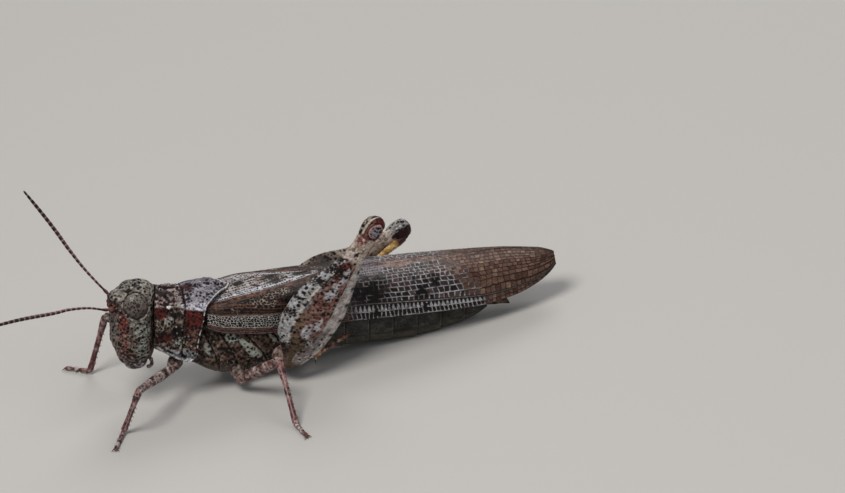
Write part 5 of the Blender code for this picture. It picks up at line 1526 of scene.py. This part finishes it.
HIGH_RIDGE = 0.64      # the upper ridge along a hind femur, as a share of its height
# Marks of a hind femur: centre and size, in shares of its length and height, and the stripes' tones.
LAVENDER_PATCHES = (((0.545, 0.2), (0.075, 0.18)), ((0.245, 0.22), (0.045, 0.16)),
                    ((0.31, 0.0), (0.05, 0.1)), ((0.17, -0.1), (0.03, 0.12)), ((0.66, 0.1), (0.05, 0.2)))
THIGH_STRIPES = (((0.70, 0.72), (0.034, 0.5), (30, 15, 15)), ((0.655, 0.35), (0.016, 0.34), (44, 23, 22)),
                 ((0.59, 0.8), (0.02, 0.34), (36, 20, 19)), ((0.775, 0.85), (0.022, 0.3), (34, 18, 17)),
                 ((0.118, 0.9), (0.032, 0.36), (40, 25, 22)), ((0.345, 0.88), (0.018, 0.26), (40, 26, 24)),
                 ((0.46, 0.9), (0.016, 0.22), (44, 28, 26)), ((0.81, 0.2), (0.012, 0.24), (52, 30, 28)))


def low_ridge(t):
    """The lower ridge of a hind femur, which rises towards the base."""
    return -0.26 + 0.5 * step(0.26, 0.04, t)


def thigh_relief(P, t, q, s, length):
    outer = step(-0.1, 0.25, s)
    low = low_ridge(t)
    mid = step(HIGH_RIDGE + 0.04, HIGH_RIDGE - 0.06, q) * step(-0.04, 0.06, q - low)
    span = step(0.06, 0.14, t) * step(0.80, 0.66, t)
    h = 0.05 * (fractal(P, 0.45, 400) - 0.5) + 0.03 * (fractal(P, 0.16, 401) - 0.5)
    h += 0.07 * hill(s, 0.0, 0.16) * span
    ridge = hill(q, HIGH_RIDGE, 0.045) + hill(q, low, 0.045) + 0.6 * hill(q, 0.28, 0.04)
    h += 0.055 * ridge * span * outer
    bone = ((t * length + 0.55 * np.abs(q) * THIGH_ABOVE(t) * 0.6) / 0.62) % 1.0
    h += 0.05 * hill(bone, 0.5, 0.2) * mid * span * outer
    h -= 0.05 * step(-0.05, -0.13, q - low) * step(-0.97, -0.85, q) * span
    # knee: lobes over the hinge and a crescent on top
    knee = step(0.90, 0.94, t)
    lobe = np.hypot((t - 0.985) * length / 0.62, (q + 0.15) / 0.75)
    h += knee * (0.06 * step(1.05, 0.85, lobe) - 0.05 * hill(lobe, 1.15, 0.08))
    h -= 0.05 * hill(t, 0.915, 0.008)
    # bed of the shank along the lower inner edge
    h -= 0.16 * hill(q, -0.5, 0.3) * step(0.0, -0.4, s) * step(0.06, 0.2, t) * step(0.99, 0.9, t)
    return h


def thigh_colours(P, t, q, s, length, far):
    W = warped(P, 0.2, 0.5, 410)
    shake = (W - P)[..., 0]
    T, Q = t + shake / length * 1.6, q + shake * 0.5
    outer = step(-0.1, 0.15, s)
    coarse, medium, fine = fractal(P, 0.6, 412), fractal(P, 0.28, 417), fractal(P, 0.13, 411)
    paint = Paint(P.shape[:2], (106, 86, 77))
    paint.over((80, 62, 54), step(0.48, 0.38, medium) * 0.6)
    # upper area: whitish
    upper = step(HIGH_RIDGE - 0.1, HIGH_RIDGE + 0.02, Q) * step(0.09, 0.13, T)
    paint.over((152, 152, 152), upper)
    paint.over((180, 182, 184), upper * step(0.5, 0.62, medium) * 0.7)
    paint.over((112, 96, 90), upper * step(0.42, 0.34, medium) * 0.7)
    # middle area: rust with lavender patches
    low = low_ridge(t)
    mid = step(HIGH_RIDGE - 0.02, HIGH_RIDGE - 0.14, Q) * step(-0.02, 0.08, Q - low)
    rust = mid * step(0.2, 0.28, T)
    paint.over((118, 84, 74), rust)
    paint.over((84, 44, 37), rust * step(0.48, 0.38, medium) * 0.85)
    paint.over((146, 120, 114), rust * step(0.58, 0.66, medium) * 0.7)
    paint.over((112, 92, 74), mid * step(0.42, 0.3, T) * step(0.3, 0.45, Q) * 0.8)
    paint.over((82, 66, 50), step(0.24, 0.15, T) * step(0.7, 0.5, Q) * 0.85)
    paint.patches((168, 162, 165), T, Q, LAVENDER_PATCHES)
    # lower area: smooth and pale
    lower = step(0.02, -0.05, q - low)
    along = step(0.0, 0.04, T) * step(0.9, 0.8, T)
    paint.over((192, 184, 181), lower * along)
    paint.over((150, 133, 126), lower * along * step(0.55, 0.42, coarse) * 0.8)
    base = step(0.34, 0.26, t) * step(-0.75, -0.6, q)
    paint.over((92, 78, 74), lower * along * base * step(0.3, 0.5, medium) * 0.7)
    paint.over((206, 200, 196), lower * along * hill(q, -0.8, 0.1) * 0.6)
    # neck
    neck = step(0.72, 0.78, T) * step(0.96, 0.92, T)
    paint.over((188, 173, 163), neck)
    paint.over((158, 138, 116), neck * step(0.5, 0.4, coarse) * 0.7)
    paint.over((204, 196, 190), neck * step(0.56, 0.66, medium) * 0.7)
    # dark oblique stripes from the upper edge
    for centre, size, tone in THIGH_STRIPES:
        paint.over(tone, patch(T + 0.05 * q, Q, centre, size, 0.3) * step(0.3, 0.42, fine))
    paint.over((104, 36, 33), patch(T + 0.05 * q, Q, (0.735, 0.5), (0.02, 0.35), 0.4) * 0.8)
    inner = 1 - outer
    paint.over((140, 120, 104), inner * step(0.92, 0.86, t) * 0.7)
    for centre in (0.2, 0.46):
        paint.over((44, 30, 26), inner * hill(T, centre, 0.06) * step(-0.6, -0.2, q) * 0.85)
    # specks
    open_area = step(0.04, 0.1, t) * (1 - 0.85 * lower)
    paint.over((14, 10, 10), dots(P, 0.38, 0.135, 0.8, 413) * open_area * (1 - 0.5 * neck))
    paint.over((18, 12, 12), dots(P, 0.26, 0.09, 0.75, 414) * open_area * (1 - 0.6 * neck))
    beads = step(0.56, 0.66, noise(np.stack([t * 46, q * 0], -1), 1.0, 415))
    edge = (hill(q, low, 0.045) + hill(q, HIGH_RIDGE, 0.045)) * beads
    base = step(0.32, 0.2, t) * step(0.02, 0.06, t)
    paint.over((16, 11, 11), dots(P, 0.4, 0.13, 0.8, 423) * lower * base)
    paint.over((15, 10, 10), edge * step(0.08, 0.14, t) * step(0.9, 0.8, t))
    ridge = hill(q, HIGH_RIDGE + 0.03, 0.03) * (1 - beads) * outer
    paint.over((206, 190, 172), ridge * step(0.1, 0.16, t) * step(0.72, 0.66, t) * 0.7)
    square = hill((t * length / 1.45) % 1.0, 0.5, 0.13)
    paint.over((18, 12, 12), square * step(-0.72, -0.85, q) * step(0.14, 0.2, t) * step(0.75, 0.7, t))
    # knee: mottled edge, cream line, brown side, dotted lobe in a pink rim
    knee = step(0.915, 0.935, T)
    lobe = np.hypot((t - 0.985) * length / 0.66, (q + 0.22) / 0.62)
    paint.over((98, 54, 48), knee)
    paint.over((44, 20, 20), knee * step(0.48, 0.4, medium))
    paint.over((138, 92, 88), knee * step(0.56, 0.66, medium) * 0.8)
    tip = step(0.99, 1.015, t) * step(0.4, 0.15, q)
    paint.over((84, 24, 26), knee * tip * (0.5 + 0.5 * step(0.4, 0.55, medium)))
    tan = knee * step(0.2, 0.3, q) * step(0.66, 0.58, q) * step(1.02, 0.99, t)
    paint.over((124, 92, 76), tan * step(0.3, 0.45, medium))
    paint.over((50, 22, 22), knee * (hill(q, 0.25, 0.05) + hill(q, 0.62, 0.05)) * step(1.03, 1.0, t))
    crown = knee * step(0.64, 0.7, q)
    paint.over((150, 138, 124), crown)
    paint.over((20, 14, 13), crown * step(0.78, 0.86, q) * step(0.4, 0.5, noise(P, 0.22, 418)))
    paint.over((206, 196, 180), knee * hill(q, 0.76, 0.06))
    paint.over((160, 120, 121), knee * step(1.02, 0.9, lobe) * outer)
    paint.over((132, 126, 134), knee * step(0.8, 0.66, lobe) * outer)
    paint.over((20, 14, 16), knee * dots(P, 0.24, 0.12, 0.9, 419) * step(0.95, 0.8, lobe) * outer)
    rim = hill(lobe, 0.97, 0.07) * step(-0.35, -0.05, q + 6 * (t - 0.985))
    paint.over((190, 150, 150), knee * rim * outer)
    paint.over((24, 12, 12), knee * hill(lobe, 1.16, 0.07) * 0.9)
    if far:
        paint.over((152, 148, 146), knee * step(0.3, 0.4, q))
        paint.over((18, 14, 14), knee * step(0.3, 0.4, q) * dots(P, 0.24, 0.125, 0.9, 420))
        paint.over((194, 190, 188), knee * hill(q, 0.62, 0.05) * 0.7)
        paint.over((50, 23, 25), knee * inner * step(0.4, 0.3, q))
        paint.over((22, 12, 12), knee * inner * (hill(q, 0.33, 0.06) + hill(lobe, 0.95, 0.1)) * 0.9)
    else:
        spot = patch(T, Q, (0.9, 0.5), (0.04, 0.5), 0.4)
        paint.over((112, 50, 46), neck * spot * step(0.4, 0.5, medium))
    paint.dim(grain(P, 421, 0.74, 1.26))
    return paint.rgb


def knee_hinge(name, side):
    """Where the hind tibia is hinged, below the tip of the femur."""
    j = HIND_JOINTS[name]
    a, length, along, across, up = limb_axes(j["base"], j["knee"], side)
    return a + along * length * 0.975 - up * 0.45 - across * 0.25


def make_hind_legs():
    for index, (name, side) in enumerate(SIDES):
        j = HIND_JOINTS[name]
        tag, seed, far = "_" + name, 440 + 50 * index, name == "right"
        P, t, q, s = limb(j["base"], j["knee"], side, THIGH_ABOVE, THIGH_BELOW, THIGH_HALF,
                          *GRIDS["far_thigh" if far else "near_thigh"], first=-0.045, last=1.065,
                          shift=THIGH_SHIFT, round_ends=(0.35, 0.45))
        _, length, along, _, _ = limb_axes(j["base"], j["knee"], side)
        rgb = thigh_colours(P, t, q, s, length, far)
        P = raised(P, thigh_relief(P, t, q, s, length))
        shape = Shape().add(P, rgb)
        fur(shape, P, 160, 0.14, along * 0.9, seed)
        shape.place("thigh" + tag, THIGH, "hind_femur_shell", "hind_femur" + tag)
        P, _, _, _ = slim(j["coxa"], np.asarray(j["hip"]) + (side * 0.35, 0.12, 0.03), side,
                          (0.75, 0.85, 0.85, 0.7, 0.55, 0.45), *GRIDS["coxa"], seed=seed + 1)
        rgb = mottled(P, (120, 98, 88), (56, 38, 34), (164, 150, 142), seed + 2, 0.4).rgb
        Shape().add(P, rgb).place("hind_coxa_skin" + tag, LEG, "leg_shell", "hind_coxa" + tag)
        make_shank(name, side, seed + 5)
        make_foot("hind_foot" + tag, SHANK, "hind_tibia_shell", "hind_tarsus" + tag, j["ankle"],
                  j["claw"], seed + 30, ((150, 96, 62), (52, 30, 26), (178, 156, 138)))


SHANK_SHARE = [0, 0.03, 0.1, 0.2, 0.5, 0.8, 0.97, 1.0]
SHANK_HIGH = table(SHANK_SHARE, [0.38, 0.4, 0.33, 0.26, 0.23, 0.25, 0.32, 0.3])
SHANK_WIDE = table(SHANK_SHARE, [0.32, 0.34, 0.29, 0.23, 0.2, 0.22, 0.3, 0.28])


def make_shank(name, side, seed):
    """Hind tibia: yellow-orange, dark at the knee, with black-tipped spines in two rows and four spurs."""
    j = HIND_JOINTS[name]
    start, end = knee_hinge(name, side), np.asarray(j["ankle"], float)
    P, t, _, _ = limb(start, end, side, SHANK_HIGH, SHANK_HIGH, SHANK_WIDE, *GRIDS["shank"],
                      first=-0.03, last=1.01, round_ends=(0.35, 0.25))
    _, length, along, across, up = limb_axes(start, end, side)
    back = up if up[1] > 0 else -up
    paint = mottled(P, (178, 134, 68), (150, 102, 50), (196, 164, 108), seed, 0.6)
    paint.over((64, 34, 28), step(0.07, 0.04, t))
    paint.over((164, 98, 54), step(0.5, 0.85, t) * 0.7)
    paint.over((70, 40, 32), step(0.965, 0.985, t) * 0.6)
    paint.over((64, 38, 30), dots(P, 0.28, 0.05, 0.4, seed + 1) * 0.7)
    paint.dim(grain(P, seed + 4, 0.85, 1.15))

    def arch(share):
        """How far the shank is bowed, up and inwards, at a share of its length."""
        rise = np.sin(math.pi * np.clip(np.asarray(share, float), 0, 1))
        return rise[..., None] * (0.17 * up - 0.19 * across)

    P = P + arch(t)
    shape = Shape().add(raised(P, 0.02 * (fractal(P, 0.2, seed + 2) - 0.5)), paint.rgb)

    def spine(root, way, size, girth):
        spike(shape, root, way, size, girth, (206, 178, 130), (22, 13, 11), (0.35, 0.6), bend=0.15,
              side=along)

    for sign, count in ((-1, 10), (1, 9)):
        for k in range(count):
            share = 0.28 + 0.66 * k / (count - 1)
            root = start + along * length * share + arch(share) + back * 0.18 + across * sign * 0.15
            spine(root, back * 0.85 + across * sign * 0.45 + along * 0.55, 0.42, 0.062)
    for sign in (-1, 1):
        for lean, size in ((0.35, 0.55), (-0.55, 0.45)):
            root = start + along * length * 0.985 + back * 0.16 * lean + across * sign * 0.2
            spine(root, along * 0.85 + back * lean + across * sign * 0.5, size, 0.075)
    fur(shape, P, 110, 0.2, along * 0.7, seed + 3, (190, 176, 150))
    shape.place("shank_" + name, SHANK, "hind_tibia_shell", "hind_tibia_" + name)


make_forewings()
make_hindwings()
make_slim_legs()
make_hind_legs()


# --- stage ---------------------------------------------------------------------------

VIEW_AZIMUTH, VIEW_ELEVATION, VIEW_ROLL = 79.0, 25.5, 1.92     # against the body frame, in degrees
FIELD_WIDTH = 67.09                 # width of the view at the body, in mm
VIEW_CENTRE = (24.76, 12.19)        # middle of the view: right of and above the face
VIEW_AIM = (0.0, 12.0, 7.0)         # a point of the body, for the depth of the view
CAMERA_AWAY = 900.0
SENSOR_WIDTH = 36.0
FLOOR_HALF = 1.5                    # metres
LIGHT_AIM = (0, -0.01, 0.005)


def make_camera():
    a, e, r = (math.radians(v) for v in (VIEW_AZIMUTH, VIEW_ELEVATION, VIEW_ROLL))
    level = np.array([math.cos(a), math.sin(a), 0.0])
    rise = np.array([-math.sin(a) * math.sin(e), math.cos(a) * math.sin(e), math.cos(e)])
    right = level * math.cos(r) - rise * math.sin(r)
    up = level * math.sin(r) + rise * math.cos(r)
    back = np.cross(right, up)
    centre = right * VIEW_CENTRE[0] + up * VIEW_CENTRE[1]
    centre = centre + back * (np.dot(VIEW_AIM, back) - np.dot(centre, back))
    data = bpy.data.cameras.new("camera")
    data.sensor_width = SENSOR_WIDTH
    data.lens = SENSOR_WIDTH * CAMERA_AWAY / FIELD_WIDTH
    data.clip_start, data.clip_end = 0.01, 100.0
    camera = new_object("camera", data)
    axes = Matrix([list(turn(v)) for v in (right, up, back)]).transposed()
    place = Vector(to_world(centre + back * CAMERA_AWAY))
    camera.matrix_world = Matrix.Translation(place) @ axes.to_4x4()
    bpy.context.scene.camera = camera


def make_floor():
    mesh = bpy.data.meshes.new("floor")
    corners = [(x * FLOOR_HALF, y * FLOOR_HALF, 0) for x, y in ((-1, -1), (1, -1), (1, 1), (-1, 1))]
    mesh.from_pydata(corners, [], [(0, 1, 2, 3)])
    floor = new_object("floor", mesh)
    mat = bpy.data.materials.new("floor_look")
    mat.use_nodes = True
    shader = mat.node_tree.nodes["Principled BSDF"]
    shader.inputs["Base Color"].default_value = (0.46, 0.445, 0.425, 1.0)
    shader.inputs["Roughness"].default_value = 0.9
    mesh.materials.append(mat)


def add_light(name, place, size, power, colour):
    data = bpy.data.lights.new(name, "AREA")
    data.shape = "DISK"
    data.size = size
    data.energy = power
    data.color = colour
    light = new_object(name, data)
    light.location = place
    light.rotation_mode = "QUATERNION"
    light.rotation_quaternion = (Vector(LIGHT_AIM) - Vector(place)).to_track_quat("-Z", "Y")


def make_light():
    bpy.context.scene.view_settings.view_transform = "Standard"
    world = bpy.data.worlds.new("studio")
    world.use_nodes = True
    background = world.node_tree.nodes["Background"]
    background.inputs["Color"].default_value = (0.9, 0.94, 1.0, 1.0)
    background.inputs["Strength"].default_value = 0.30
    bpy.context.scene.world = world
    add_light("key", (0.12, -0.10, 0.30), 0.16, 0.8, (1.0, 0.97, 0.93))
    add_light("fill", (0.25, 0.20, 0.20), 0.25, 0.2, (0.93, 0.96, 1.0))
    add_light("rim", (-0.22, 0.10, 0.22), 0.18, 0.35, (1.0, 0.98, 0.95))


make_camera()
make_floor()
make_light()
